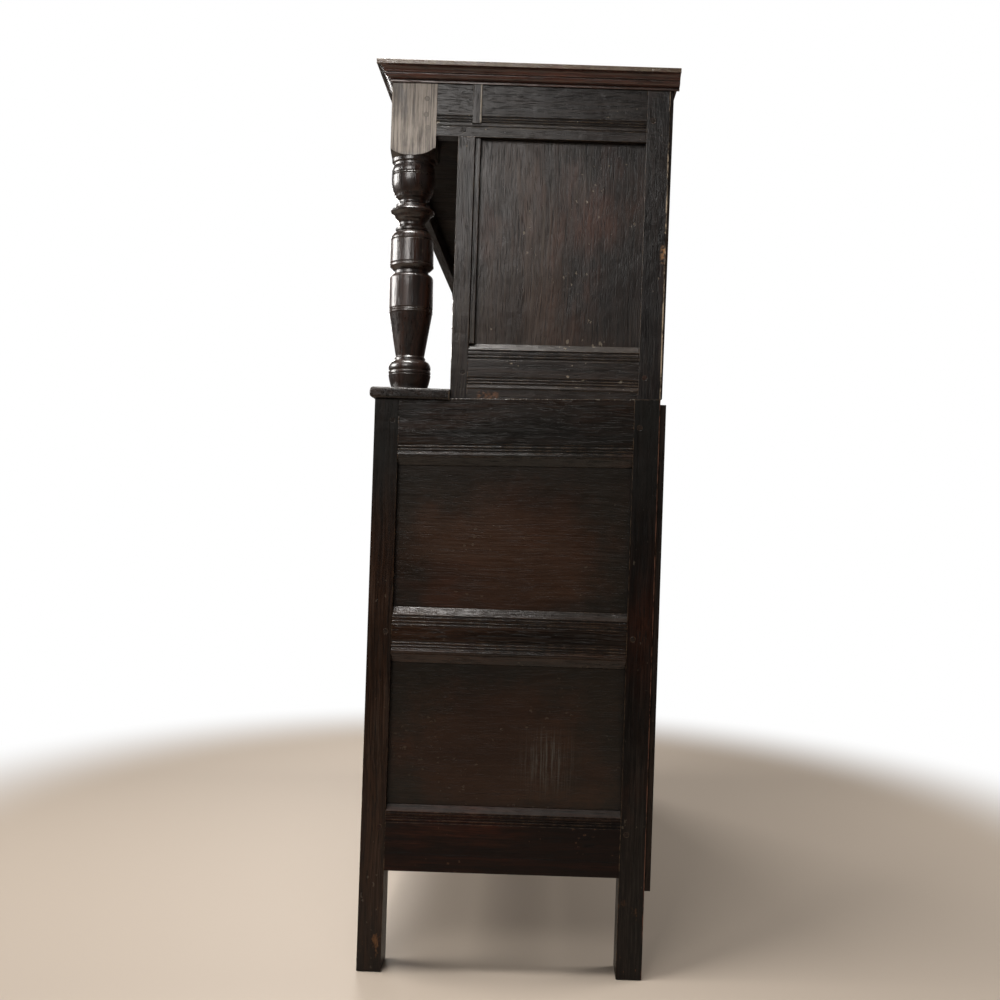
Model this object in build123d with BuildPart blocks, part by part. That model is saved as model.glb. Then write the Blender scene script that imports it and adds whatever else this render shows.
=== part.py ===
"""Court cupboard of joined oak, in millimetres: +X to the right, +Y to the back, +Z up.

The origin is on the floor, under the middle of the cupboard's bounding box. The base stands on
its four posts and holds three drawers over two doors; the upper stage is set back behind a ledge,
with two doors, and its frieze is carried at the front corners by two turned pillars.
"""

import os
from math import sqrt

from build123d import *

# Driving dimensions of the whole cupboard
case_length = 1420.0  # over the base posts
case_depth = 518.0  # front face of the base to the back of its posts
overall_height = 1650.0
base_height = 1042.0  # floor to the top of the base's frame
stage_inset = 6.0  # the upper stage's sides stand in from the base's
recess = 135.0  # the upper stage's front stands back from the base's
frame_thickness = 26.0  # side rails
front_thickness = 24.0  # front rails, muntins and doors
fit_gap = 1.5  # round a door or a drawer front
knob_reach = 30.0
foot_chamfer = 2.0

# Posts
post_width = 62.0  # seen from the front
front_post_depth = 44.0  # seen from the side
back_post_depth = 47.0
upper_post_width = 50.0
upper_post_depth = 42.0
end_stile_width = 96.0
end_stile_depth = 30.5
upper_depth = 519.0  # front face of the base to the back of the upper posts

# Heights of the rails, bottom and top
base_rail_spans = {"bottom": (185.0, 304.0), "middle": (563.0, 664.0), "top": (922.0, base_height)}
front_top_rail_height = 36.0
drawer_opening_height = 100.0
drawer_rail_height = 44.0
centre_rail_height = 80.0
back_bottom_rail_height = 85.0
back_top_rail_height = 52.0
upper_back_rail_height = 60.0
upper_bottom_rail_height = 106.0
upper_front_bottom_rail_height = 70.0
frieze_bottom = 1523.0
front_frieze_bottom = 1486.0  # the frieze hangs lower across the front than at the sides
head_rail_bottom = 1475.0
soffit_bottom = frieze_bottom + 2.0
frieze_thickness = 21.0
frieze_setback = 3.0  # behind the front faces of the pillars' blocks
frame_top = 1634.0  # top of the frieze, under the top boards

# Bays
centre_bay = 380.0
muntin_width = 60.0

# The old frame isn't quite square: the upper stage meets the base along a sloping seam
seam_front = 1045.0
seam_back = 1055.5
top_rail_rise = 8.3  # from the front end of the base's top side rail to its back end
upper_rail_rise = 3.0
seam_trim = 1.0  # a piece above or below the seam starts this far past it, and is cut back to it
seam_room = 40.0  # more than any piece stands past the seam before it is cut

# Boards
ledge_thickness = 20.0
ledge_nose = 9.5  # the ledge runs this far in front of the base
ledge_end_overhang = 8.0
ledge_nose_radius = 7.0
ledge_end_radius = 4.0
panel_thickness = 8.0
panel_setback = 12.0
front_panel_setback = 10.0
panel_tongue = 9.0  # how deep a panel's edge stands in its groove
back_board_thickness = 11.0
back_board_margin = 4.0  # the base's back boards stop short of its sides
upper_board_head = 6.0  # the upper back boards are riven, and thin towards their lower ends
upper_board_foot = 2.5
upper_board_margin = 2.0
base_back_foot = 162.0  # lower end of the base's back boards
base_back_head = 1046.5
floor_thickness = 12.0
base_floor_drop = 4.0  # below the top of the base's bottom rails
upper_floor_lift = 20.0  # above the base's frame
soffit_thickness = 10.0
soffit_housing = 6.0
soffit_seams = (110.0, 338.0, 432.0)  # to either side of the middle
board_gap = 1.0  # between two boards laid side by side
housing = 5.0  # how deep a floor board's edge stands in a rail
runner_height = 20.0
runner_reach = 14.0  # how far a runner stands under a drawer's side

# Joints
tenon_thickness = 10.0
thin_tenon = 8.0  # in the front frames and the doors
tenon_shoulder = 10.0
side_tenon_length = 30.0
stile_tenon_length = 18.0  # in the thinner stile of the upper stage
stile_top_height = 20.0
stile_top_shoulder = 5.0
front_tenon_length = 40.0
centre_tenon_length = 24.0
frieze_tenon_length = 34.0
muntin_tenon_length = 10.0
peg_radius = 4.5
peg_length = 24.0
peg_setback = 11.0  # from the shoulder of the joint
base_peg_heights = {"bottom": 264.0, "middle": 619.0, "top": 1003.0}
upper_peg_heights = {"bottom rail": 1095.0, "stile": 1535.0, "frieze": 1563.0}
block_pegs = ((15.0, 1537.0), (19.0, 1561.0), (18.0, 1590.0))  # (from the block's back edge, height)
upper_front_peg_heights = (1077.0, 1498.0)
frieze_peg_heights = (1550.0, 1590.0)
frieze_peg_setback = 14.0
stile_peg_setback = 9.0

# Pillar
block_width = 82.0
block_bottom = 1497.0  # lower end of the block's square faces
pillar_setback = 12.0  # block's front face behind the base's front face
shaft_height = 441.0  # the turning, from the ledge up to its square block
shaft_overlap = 3.0
pillar_pin_radius = 12.0
pillar_pin_length = ledge_thickness - 4.0
shaft_lean = 0.75  # degrees; the turning leans forwards a little from its square block
shaft_lean_height = 196.0  # above the ledge, where the turning crosses the block's axis

# Cornice
cornice_bottom = 1618.0
cornice_projection = 26.0
cornice_back = 534.0  # behind the base's front face
cornice_height = overall_height - cornice_bottom

# Strips planted on the frieze, and the bead beside each upper side panel
strip_proud = 3.0
strip_width = 16.0
strip_place = 160.0  # a side strip's front edge, behind the base's front face
strip_lift = 24.0  # above the lower edge of the side frieze
panel_bead_width = 9.0
panel_bead_gap = 1.0  # between the bead and the stile
panel_bead_setback = 4.0

# Run mouldings
groove_radius = 1.9
fine_radius = 1.1
groove_pitch = 5.0
bevel_depth = 10.0
bead_radius = 4.0
bead_proud = 1.0
frieze_grooves = (26.5, 31.0, 36.4)
frieze_scratch = 19.0
muntin_arris = 3.0

# Doors, drawers and turned knobs
door_stile = 56.0
door_rail = 56.0
door_panel_setback = 8.0
door_tongue = 8.0
door_bevel_height = 9.0
door_bevel_depth = 7.0
door_tenon_length = 22.0  # short of the spindle's hole in the closing stile
pintle_radius = 6.0
pintle_length = 12.0
pintle_edge = 13.0  # pivot to the side of the opening
running_clearance = 0.1
knob_radius = 15.0
knob_edge = 28.0  # knob's axis to the edge of its stile
spindle_radius = 5.0
button_half_length = 46.0
button_half_width = 8.0
button_thickness = 10.0
button_gap = 0.6
button_corner = 5.0
drawer_front_thickness = 20.0
drawer_side_thickness = 12.0
drawer_bottom_thickness = 8.0
drawer_length = 440.0
drawer_side_height = 82.0
drawer_side_gap = 3.0  # the box is narrower than its front
drawer_back_drop = 8.0  # the back is lower than the sides
drawer_front_bevel = 2.5
drawer_rest_gap = 0.3

# Places worked out from the dimensions above
overall_depth = knob_reach + cornice_back
base_front = knob_reach - overall_depth / 2
base_back = base_front + case_depth
half_length = case_length / 2
post_inner = half_length - post_width
side_inner = half_length - frame_thickness
front_post_back = base_front + front_post_depth
back_post_front = base_back - back_post_depth
drawer_rail_top = base_height - front_top_rail_height - drawer_opening_height
drawer_rail_bottom = drawer_rail_top - drawer_rail_height
base_floor_top = base_rail_spans["bottom"][1] - base_floor_drop
base_floor_bottom = base_floor_top - floor_thickness

upper_half = half_length - stage_inset
upper_front = base_front + recess
upper_back = base_front + upper_depth
upper_side_inner = upper_half - frame_thickness
end_stile_inner = upper_half - end_stile_width
end_stile_back = upper_front + end_stile_depth
upper_post_front = upper_back - upper_post_depth
upper_post_inner = upper_half - upper_post_width
upper_rail_top = base_height + upper_bottom_rail_height
door_sill = base_height + upper_front_bottom_rail_height
upper_floor_bottom = base_height + upper_floor_lift
ledge_top = base_height + ledge_thickness

block_front = base_front + pillar_setback
block_back = block_front + block_width
pillar_y = block_front + block_width / 2
pillar_x = upper_half - block_width / 2
block_inner = upper_half - block_width
frieze_front = block_front + frieze_setback
frieze_back = frieze_front + frieze_thickness
muntin_centre = (centre_bay + muntin_width) / 2
muntin_inner = centre_bay / 2
muntin_outer = muntin_inner + muntin_width

os.makedirs("parts", exist_ok=True)


# Helpers


def span_box(x, y, z, mode=Mode.ADD):
    """A box in the active part, from its (low, high) spans along X, Y and Z."""
    with Locations(((x[0] + x[1]) / 2, (y[0] + y[1]) / 2, (z[0] + z[1]) / 2)):
        Box(x[1] - x[0], y[1] - y[0], z[1] - z[0], mode=mode)


def fill(spans):
    for span in spans:
        span_box(*span)


def cut(spans):
    for span in spans:
        span_box(*span, mode=Mode.SUBTRACT)


def mirror_spans(spans):
    return [((-x[1], -x[0]), y, z) for x, y, z in spans]


def both_sides(spans):
    return list(spans) + mirror_spans(spans)


def board(x, y, z, cuts=()):
    """A plain board or bar, with housings, grooves or notches cut out of it."""
    with BuildPart() as piece:
        span_box(x, y, z)
        cut(cuts)
    return piece.part


def mirrored(piece):
    return mirror(piece, about=Plane.YZ)


def save(name, *pieces):
    """Writes one node: a single piece, or a group of separate solids."""
    node = pieces[0] if len(pieces) == 1 else Compound(children=list(pieces))
    node.label = name
    export_step(node, f"parts/{name}.step")


def peg_cylinders(places, mode=Mode.ADD):
    """Pegs driven along X or Y: each place is (x, y, z, axis), from the face of the frame inwards."""
    for x, y, z, axis in places:
        inward = -peg_length / 2 if x > 0 else peg_length / 2
        centre = (x + inward, y, z) if axis == "x" else (x, y + peg_length / 2, z)
        turn = (0, 90, 0) if axis == "x" else (90, 0, 0)
        with Locations(centre):
            Cylinder(peg_radius, peg_length, rotation=turn, mode=mode)


def drill(places):
    peg_cylinders(places, mode=Mode.SUBTRACT)


def moulded_profile(
    thickness, height, top_bevel=0.0, bottom_bevel=0.0, depth=bevel_depth,
    grooves=(), fine_grooves=(), beads=(),
):
    """Section of a rail in the active sketch: the outer face is at local x = thickness."""
    with Locations((thickness / 2, height / 2)):
        Rectangle(thickness, height)
    for centre in beads:
        with Locations((thickness + bead_proud - bead_radius, centre)):
            Circle(bead_radius)
    if top_bevel:
        Polygon(
            (thickness, height), (thickness - depth, height), (thickness, height - top_bevel), align=None,
            mode=Mode.SUBTRACT,
        )
    if bottom_bevel:
        Polygon(
            (thickness, 0), (thickness, bottom_bevel), (thickness - depth, 0), align=None, mode=Mode.SUBTRACT
        )
    for radius, centres in ((groove_radius, grooves), (fine_radius, fine_grooves)):
        for centre in centres:
            with Locations((thickness, centre)):
                Circle(radius, mode=Mode.SUBTRACT)


def groove_run(start, count):
    """Heights of a run of parallel scratch grooves."""
    return [start + groove_pitch * i for i in range(count)]


def side_rail(outer, y, z, tenons, cuts, pegs, rise=0.0, **section):
    """A moulded rail of the right-hand side frame, running along Y; it may rise towards its back end."""
    length = y[1] - y[0]
    start = y[1] + length  # the run is made too long at both ends, then cut square to the posts
    origin = (outer - frame_thickness, start, z[0] + 2 * rise)
    plane = Plane(origin=origin, x_dir=(1, 0, 0), z_dir=(0, -length, -rise))
    with BuildPart() as rail:
        with BuildSketch(plane):
            moulded_profile(frame_thickness, z[1] - z[0], **section)
        extrude(amount=3 * length)
        span_box((0, 2 * outer), y, (0, overall_height), mode=Mode.INTERSECT)
        fill(tenons)
        cut(cuts)
        drill(pegs)
    return rail.part


def front_rail(half, face, thickness, z, tenons, cuts, pegs, **section):
    """A moulded rail across the front, running along X, with its outer face at y = face."""
    plane = Plane(origin=(half, face + thickness, z[0]), x_dir=(0, -1, 0), z_dir=(-1, 0, 0))
    with BuildPart() as rail:
        with BuildSketch(plane):
            moulded_profile(thickness, z[1] - z[0], **section)
        extrude(amount=2 * half)
        fill(tenons)
        cut(cuts)
        drill(pegs)
    return rail.part


def side_tenon(outer, shoulder, direction, z, length=side_tenon_length):
    """Tenon of a side rail: it runs from the shoulder along Y."""
    x_middle = outer - frame_thickness / 2
    end = shoulder + direction * length
    return (
        (x_middle - tenon_thickness / 2, x_middle + tenon_thickness / 2),
        (min(shoulder, end), max(shoulder, end)),
        (z[0] + tenon_shoulder, z[1] - tenon_shoulder),
    )


def front_tenon(shoulder, face, thickness, z, length=front_tenon_length):
    """Tenon at the right-hand end of a front rail: it runs from the shoulder along X."""
    y_middle = face + thickness / 2
    return (
        (shoulder, shoulder + length),
        (y_middle - thin_tenon / 2, y_middle + thin_tenon / 2),
        (z[0] + tenon_shoulder, z[1] - tenon_shoulder),
    )


# Base: side frames. The right-hand side is made, and the left is its mirror.

base_panel_x = (half_length - panel_setback - panel_thickness, half_length - panel_setback)
base_panel_y = (front_post_back - panel_tongue, back_post_front + panel_tongue)
base_panel_z = [
    (base_rail_spans["bottom"][1], base_rail_spans["middle"][0]),
    (base_rail_spans["middle"][1], base_rail_spans["top"][0] + top_rail_rise),
]
base_panels = [
    (base_panel_x, base_panel_y, (low - panel_tongue, high + panel_tongue)) for low, high in base_panel_z
]
base_side_tenons = {
    name: [side_tenon(half_length, front_post_back, -1, z), side_tenon(half_length, back_post_front, 1, z)]
    for name, z in base_rail_spans.items()
}
all_base_side_tenons = [tenon for pair in base_side_tenons.values() for tenon in pair]
base_side_pegs = [
    (half_length, y, z, "x")
    for z in base_peg_heights.values()
    for y in (front_post_back - peg_setback, back_post_front + peg_setback)
]
base_floor = (
    (-side_inner - housing, side_inner + housing),
    (base_front + front_thickness - housing, base_back - front_thickness),
    (base_floor_bottom, base_floor_top),
)
base_rail_sections = {
    "bottom": {"top_bevel": 10.5, "grooves": (90.0, 95.8, 100.2), "fine_grooves": (106.0,)},
    "middle": {
        "top_bevel": 13.5,
        "bottom_bevel": 15.5,
        "beads": (21.0,),
        "grooves": (27.8, 33.3, 39.0, 72.0, 85.0),
        "fine_grooves": (77.3,),
    },
    "top": {"bottom_bevel": 14.5, "beads": (19.0,), "grooves": (25.5, 30.8, 37.0), "rise": top_rail_rise},
}


def seam_at(y):
    """Height of the seam between the base and the upper stage's sides."""
    return seam_front + (seam_back - seam_front) * (y - upper_front) / (upper_back - upper_front)


def seam_wedge(y, height):
    """Everything between the sloping seam and a level height, along the Y span."""
    with BuildPart() as wedge:
        with BuildSketch(Plane.YZ.offset(-case_length)):
            Polygon((y[0], seam_at(y[0])), (y[1], seam_at(y[1])), (y[1], height), (y[0], height), align=None)
        extrude(amount=2 * case_length)
    return wedge.part


behind_base = base_back + seam_room
above_seam = seam_wedge((upper_front, behind_base), seam_back + seam_room)
below_seam = seam_wedge((upper_front - seam_room, behind_base), seam_front - seam_room)
under_ledge = ((0, case_length), (base_front, upper_front), (base_height, seam_back + seam_room))

base_side_rails = []
for name, z in base_rail_spans.items():
    top = seam_back + seam_trim if name == "top" else z[1]
    with BuildPart() as base_side_rail:
        add(
            side_rail(
                half_length, (front_post_back, back_post_front), (z[0], top), base_side_tenons[name],
                [*base_panels, base_floor, under_ledge], base_side_pegs, **base_rail_sections[name],
            )
        )
        add(above_seam, mode=Mode.SUBTRACT)
    base_side_rails.append(base_side_rail.part)
base_side_panels = [board(*span) for span in base_panels]

# Base: front frame, three bays wide

base_opening_top = drawer_rail_bottom
base_opening_bottom = base_rail_spans["bottom"][1]
front_top_z = (base_height - front_top_rail_height, base_height)
drawer_rail_z = (drawer_rail_bottom, drawer_rail_top)
bottom_rail_z = base_rail_spans["bottom"]
base_front_tenons = {
    name: front_tenon(post_inner, base_front, front_thickness, z)
    for name, z in (("top", front_top_z), ("drawer", drawer_rail_z), ("bottom", bottom_rail_z))
}
base_front_pegs = [
    (side * (post_inner + peg_setback), base_front, (z[0] + z[1]) / 2, "y")
    for z in (front_top_z, drawer_rail_z, bottom_rail_z)
    for side in (-1, 1)
]


def muntin_spans(z, face, thickness):
    """Tenons above and below a muntin of the right-hand side."""
    y_middle = face + thickness / 2
    x = (muntin_inner + tenon_shoulder, muntin_outer - tenon_shoulder)
    y = (y_middle - thin_tenon / 2, y_middle + thin_tenon / 2)
    return [(x, y, (z[0] - muntin_tenon_length, z[0])), (x, y, (z[1], z[1] + muntin_tenon_length))]


drawer_muntin_z = (drawer_rail_top, front_top_z[0])
door_muntin_z = (base_opening_bottom, base_opening_top)
drawer_muntin_tenons = muntin_spans(drawer_muntin_z, base_front, front_thickness)
door_muntin_tenons = muntin_spans(door_muntin_z, base_front, front_thickness)
all_muntin_tenons = both_sides(drawer_muntin_tenons + door_muntin_tenons)

centre_rail_middle = (base_opening_bottom + base_opening_top) / 2
centre_rail_z = (centre_rail_middle - centre_rail_height / 2, centre_rail_middle + centre_rail_height / 2)
centre_rail_tenon = front_tenon(
    centre_bay / 2, base_front, front_thickness, centre_rail_z, length=centre_tenon_length
)
centre_panel_y = (base_front + front_panel_setback, base_front + front_panel_setback + panel_thickness)
centre_panel_x = (-centre_bay / 2 - panel_tongue, centre_bay / 2 + panel_tongue)
base_centre_panels = [
    (centre_panel_x, centre_panel_y, (base_opening_bottom - panel_tongue, centre_rail_z[0] + panel_tongue)),
    (centre_panel_x, centre_panel_y, (centre_rail_z[1] - panel_tongue, base_opening_top + panel_tongue)),
]


def pintle_place(opening_side, face):
    """Pivot of a door whose hinge side is at x = opening_side."""
    inward = -1 if opening_side > 0 else 1
    return (opening_side + inward * pintle_edge, face + front_thickness / 2)


def pintle_bores(places, z, depth):
    """Blind holes in a rail for the pintles of its two doors, going up (or down) from z."""
    for x, y in places:
        with Locations((x, y, z + depth / 2)):
            Cylinder(pintle_radius + running_clearance, abs(depth), mode=Mode.SUBTRACT)


bore_depth = pintle_length + 0.5
base_pintles = [pintle_place(side * post_inner, base_front) for side in (-1, 1)]

with BuildPart() as base_front_top_rail:
    add(
        front_rail(
            post_inner, base_front, front_thickness, front_top_z, both_sides([base_front_tenons["top"]]),
            all_muntin_tenons, base_front_pegs, grooves=groove_run(12.0, 2),
        )
    )

with BuildPart() as base_drawer_rail:
    add(
        front_rail(
            post_inner, base_front, front_thickness, drawer_rail_z, both_sides([base_front_tenons["drawer"]]),
            all_muntin_tenons + base_centre_panels, base_front_pegs, grooves=groove_run(14.0, 4),
        )
    )
    pintle_bores(base_pintles, drawer_rail_bottom, bore_depth)

with BuildPart() as base_front_bottom_rail:
    add(
        front_rail(
            post_inner, base_front, front_thickness, bottom_rail_z, both_sides([base_front_tenons["bottom"]]),
            [*all_muntin_tenons, *base_centre_panels, base_floor], base_front_pegs,
            grooves=groove_run(87.0, 4),
        )
    )
    pintle_bores(base_pintles, base_opening_bottom, -bore_depth)


def muntin(x, face, z, tenons, cuts):
    """An upright between two openings, with a small bevel on its front edges."""
    with BuildPart() as upright:
        span_box(x, (face, face + front_thickness), z)
        front_face = upright.faces().sort_by(Axis.Y)[0]
        chamfer(front_face.edges().filter_by(Axis.Z), length=muntin_arris)
        fill(tenons)
        cut(cuts)
    return upright.part


muntin_x = (muntin_inner, muntin_outer)
drawer_muntin = muntin(muntin_x, base_front, drawer_muntin_z, drawer_muntin_tenons, [])
door_muntin = muntin(
    muntin_x, base_front, door_muntin_z, door_muntin_tenons, [centre_rail_tenon, *base_centre_panels]
)
base_centre_rail = front_rail(
    centre_bay / 2, base_front, front_thickness, centre_rail_z, both_sides([centre_rail_tenon]),
    base_centre_panels, [], top_bevel=14.0, bottom_bevel=14.0, grooves=(22.0, 27.0, 53.0, 58.0),
)

# Base: back frame, floor and runners

back_rail_spans = [
    (bottom_rail_z[0], bottom_rail_z[0] + back_bottom_rail_height),
    drawer_rail_z,
    (base_height - back_top_rail_height, base_height),
]
back_rail_face = base_back - front_thickness
base_back_tenons = [front_tenon(post_inner, back_rail_face, front_thickness, z) for z in back_rail_spans]

with BuildPart() as base_front_post:
    span_box((post_inner, half_length), (base_front, front_post_back), (0, base_height))
    chamfer(base_front_post.faces().sort_by(Axis.Z)[0].edges(), length=foot_chamfer)
    cut([*all_base_side_tenons, *base_panels, *base_front_tenons.values()])
    drill([*base_side_pegs, *base_front_pegs])

with BuildPart() as base_back_post:
    span_box((post_inner, half_length), (back_post_front, base_back), (0, seam_back + seam_trim))
    chamfer(base_back_post.faces().sort_by(Axis.Z)[0].edges(), length=foot_chamfer)
    cut([*all_base_side_tenons, *base_panels, *base_back_tenons])
    add(above_seam, mode=Mode.SUBTRACT)
    drill(base_side_pegs)

base_back_rails = []
for z, tenon in zip(back_rail_spans, base_back_tenons):
    with BuildPart() as back_rail:
        span_box((-post_inner, post_inner), (back_rail_face, base_back), z)
        fill(both_sides([tenon]))
    base_back_rails.append(back_rail.part)


def planks(x, y, z, count, along, gap=board_gap):
    """Boards laid side by side along X or Y, with a shrinkage gap between them."""
    low, high = x if along == "x" else y
    width = (high - low + gap) / count
    spans = []
    for i in range(count):
        edge = (low + i * width, low + (i + 1) * width - gap)
        spans.append((edge, y, z) if along == "x" else (x, edge, z))
    return spans


base_back_x = (-half_length + back_board_margin, half_length - back_board_margin)
base_back_spans = planks(
    base_back_x, (base_back, base_back + back_board_thickness), (base_back_foot, base_back_head), 7, "x"
)
base_corner_posts = both_sides(
    [
        ((post_inner, half_length), (base_front, front_post_back), (0, base_height)),
        ((post_inner, half_length), (back_post_front, base_back), (0, base_height)),
    ]
)

runner_z = (drawer_rail_top - runner_height, drawer_rail_top)
guide_z = (drawer_rail_top, drawer_rail_top + runner_height)
runner_y = (base_front + front_thickness, back_rail_face)
runners = both_sides(
    [
        ((post_inner - runner_reach, side_inner), (front_post_back, back_post_front), runner_z),
        ((muntin_inner - runner_reach, muntin_outer + runner_reach), runner_y, runner_z),
        ((post_inner + fit_gap, side_inner), (front_post_back, back_post_front), guide_z),
        ((muntin_inner + fit_gap, muntin_outer - fit_gap), runner_y, guide_z),
    ]
)

# Ledge: the top of the base in front of the upper stage, with a rounded nose

with BuildPart() as ledge_board:
    ledge_half = half_length + ledge_end_overhang
    span_box((-ledge_half, ledge_half), (base_front - ledge_nose, upper_front), (base_height, ledge_top))
    nose = ledge_board.faces().sort_by(Axis.Y)[0].edges().filter_by(Axis.X)
    fillet(nose, radius=ledge_nose_radius)
    ends = ledge_board.edges().filter_by(Axis.Y).filter_by(lambda e: abs(e.center().X) > half_length)
    fillet(ends, radius=ledge_end_radius)
    with BuildSketch(Plane.XY.offset(ledge_top)):
        with Locations((pillar_x, pillar_y), (-pillar_x, pillar_y)):
            Circle(pillar_pin_radius)
    extrude(amount=-pillar_pin_length, mode=Mode.SUBTRACT)

# Upper stage: side frames

upper_bottom_z = (base_height, upper_rail_top)
frieze_z = (frieze_bottom, frame_top)
upper_panel = (
    (upper_half - panel_setback - panel_thickness, upper_half - panel_setback),
    (end_stile_back - panel_tongue, upper_post_front + panel_tongue),
    (upper_rail_top - panel_tongue, frieze_bottom + panel_tongue),
)
upper_tenon_z = (seam_back, upper_rail_top)
upper_side_tenons = [
    side_tenon(upper_half, end_stile_back, -1, upper_tenon_z, length=stile_tenon_length),
    side_tenon(upper_half, upper_post_front, 1, upper_tenon_z),
]
frieze_side_tenons = [
    side_tenon(upper_half, block_back, -1, frieze_z),
    side_tenon(upper_half, upper_post_front, 1, frieze_z),
]
stile_top_tenon = (
    (upper_half - frame_thickness / 2 - thin_tenon / 2, upper_half - frame_thickness / 2 + thin_tenon / 2),
    (upper_front + stile_top_shoulder, end_stile_back - stile_top_shoulder),
    (frieze_bottom, frieze_bottom + stile_top_height),
)
upper_floor = (
    (-upper_side_inner - housing, upper_side_inner + housing),
    (upper_front + front_thickness - housing, upper_back - front_thickness + housing),
    (upper_floor_bottom, upper_floor_bottom + floor_thickness),
)
upper_pegs = [
    (upper_half, end_stile_back - stile_peg_setback, upper_peg_heights["bottom rail"], "x"),
    (upper_half, upper_post_front + peg_setback, upper_peg_heights["bottom rail"], "x"),
    (upper_half, upper_post_front + peg_setback, upper_peg_heights["frieze"], "x"),
    (upper_half, upper_front + stile_peg_setback, upper_peg_heights["stile"], "x"),
    *[(upper_half, block_back - setback, z, "x") for setback, z in block_pegs],
]
with BuildPart() as upper_side_bottom_rail:
    add(
        side_rail(
            upper_half, (end_stile_back, upper_post_front), upper_bottom_z, upper_side_tenons,
            [upper_panel, upper_floor], upper_pegs, rise=upper_rail_rise, top_bevel=11.5, beads=(25.0,),
            grooves=(31.5, 37.0, 42.3, 78.3, 92.0), fine_grooves=(84.0,),
        )
    )
    add(below_seam, mode=Mode.SUBTRACT)
frieze_side_rail = side_rail(
    upper_half, (block_back, upper_post_front), frieze_z, frieze_side_tenons, [upper_panel, stile_top_tenon],
    upper_pegs, grooves=frieze_grooves, fine_grooves=(frieze_scratch,),
)
upper_side_panel = board(*upper_panel)

upper_back_z = [
    (low, low + upper_back_rail_height) for low in (seam_back + seam_trim, frame_top - upper_back_rail_height)
]
upper_back_face = upper_back - front_thickness
upper_back_tenons = [
    front_tenon(upper_post_inner, upper_back_face, front_thickness, z, length=side_tenon_length)
    for z in upper_back_z
]
with BuildPart() as upper_back_post:
    span_box((upper_post_inner, upper_half), (upper_post_front, upper_back), (base_height, frame_top))
    cut([upper_side_tenons[1], frieze_side_tenons[1], upper_panel, *upper_back_tenons])
    add(below_seam, mode=Mode.SUBTRACT)
    drill(upper_pegs)

# Upper stage: front frame, set back behind the ledge

sill_z = (seam_front + seam_trim, door_sill)
head_z = (head_rail_bottom, soffit_bottom)
upper_front_tenons = [
    front_tenon(end_stile_inner, upper_front, front_thickness, sill_z),
    front_tenon(end_stile_inner, upper_front, front_thickness, head_z),
]
upper_muntin_z = (door_sill, head_rail_bottom)
upper_muntin_tenons = muntin_spans(upper_muntin_z, upper_front, front_thickness)
upper_centre_panel_span = (
    centre_panel_x,
    (upper_front + front_panel_setback, upper_front + front_panel_setback + panel_thickness),
    (door_sill - panel_tongue, head_rail_bottom + panel_tongue),
)
upper_pintles = [pintle_place(side * end_stile_inner, upper_front) for side in (-1, 1)]
upper_front_pegs = [
    (side * (end_stile_inner + peg_setback), upper_front, z, "y")
    for z in upper_front_peg_heights
    for side in (-1, 1)
]

with BuildPart() as upper_sill_rail:
    add(
        front_rail(
            end_stile_inner, upper_front, front_thickness, sill_z, both_sides([upper_front_tenons[0]]),
            [*both_sides(upper_muntin_tenons), upper_centre_panel_span, upper_floor], upper_front_pegs,
            grooves=groove_run(44.0, 3),
        )
    )
    pintle_bores(upper_pintles, door_sill, -bore_depth)

with BuildPart() as upper_head_rail:
    add(
        front_rail(
            end_stile_inner, upper_front, front_thickness, head_z, both_sides([upper_front_tenons[1]]),
            [*both_sides(upper_muntin_tenons), upper_centre_panel_span], upper_front_pegs,
            grooves=groove_run(18.0, 3),
        )
    )
    pintle_bores(upper_pintles, head_rail_bottom, bore_depth)

upper_muntin = muntin(muntin_x, upper_front, upper_muntin_z, upper_muntin_tenons, [upper_centre_panel_span])
upper_centre_panel = board(*upper_centre_panel_span)

end_stile_y = (upper_front, end_stile_back)
with BuildPart() as upper_end_stile:
    span_box((end_stile_inner, upper_half), end_stile_y, (base_height, soffit_bottom))
    cut([((upper_side_inner, upper_half), end_stile_y, (frieze_bottom, soffit_bottom))])
    fill([stile_top_tenon])
    cut([*upper_front_tenons, upper_side_tenons[0], upper_panel])
    add(below_seam, mode=Mode.SUBTRACT)
    drill([*upper_pegs, *upper_front_pegs])

# Canopy: frieze, soffit and the pillars that carry it

front_frieze_z = (front_frieze_bottom, frame_top)
frieze_tenon_z = (block_bottom, frame_top)
frieze_front_tenon = front_tenon(
    block_inner, frieze_front, frieze_thickness, frieze_tenon_z, length=frieze_tenon_length
)
soffit_half_edges = [*soffit_seams, upper_side_inner]
soffit_edges = [-x for x in reversed(soffit_half_edges)] + soffit_half_edges
soffit_span = (
    (-upper_side_inner, upper_side_inner),
    (frieze_back - soffit_housing, upper_front + front_thickness),
    (soffit_bottom, soffit_bottom + soffit_thickness),
)
block_spans = both_sides([((block_inner, upper_half), (block_front, block_back), (base_height, frame_top))])
canopy_boards = [
    board((low + board_gap / 2, high - board_gap / 2), *soffit_span[1:], cuts=block_spans)
    for low, high in zip(soffit_edges, soffit_edges[1:])
]
front_grooves = [height + frieze_bottom - front_frieze_bottom for height in frieze_grooves]
frieze_front_rail = front_rail(
    block_inner, frieze_front, frieze_thickness, front_frieze_z, both_sides([frieze_front_tenon]),
    [soffit_span], [], grooves=front_grooves,
)
frieze_front_pegs = [
    (side * (block_inner + frieze_peg_setback), block_front, z, "y")
    for z in frieze_peg_heights
    for side in (-1, 1)
]

# The turning, as a half section from the ledge up to the square block, by height above the ledge

shaft_origin = (pillar_x, pillar_y, ledge_top + shaft_lean_height)
shaft_plane = Plane(origin=shaft_origin, x_dir=(1, 0, 0), z_dir=(0, -1, 0)).rotated((shaft_lean, 0, 0))
corner = block_width / sqrt(2) + 2.0  # beyond the corner of the square block


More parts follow.
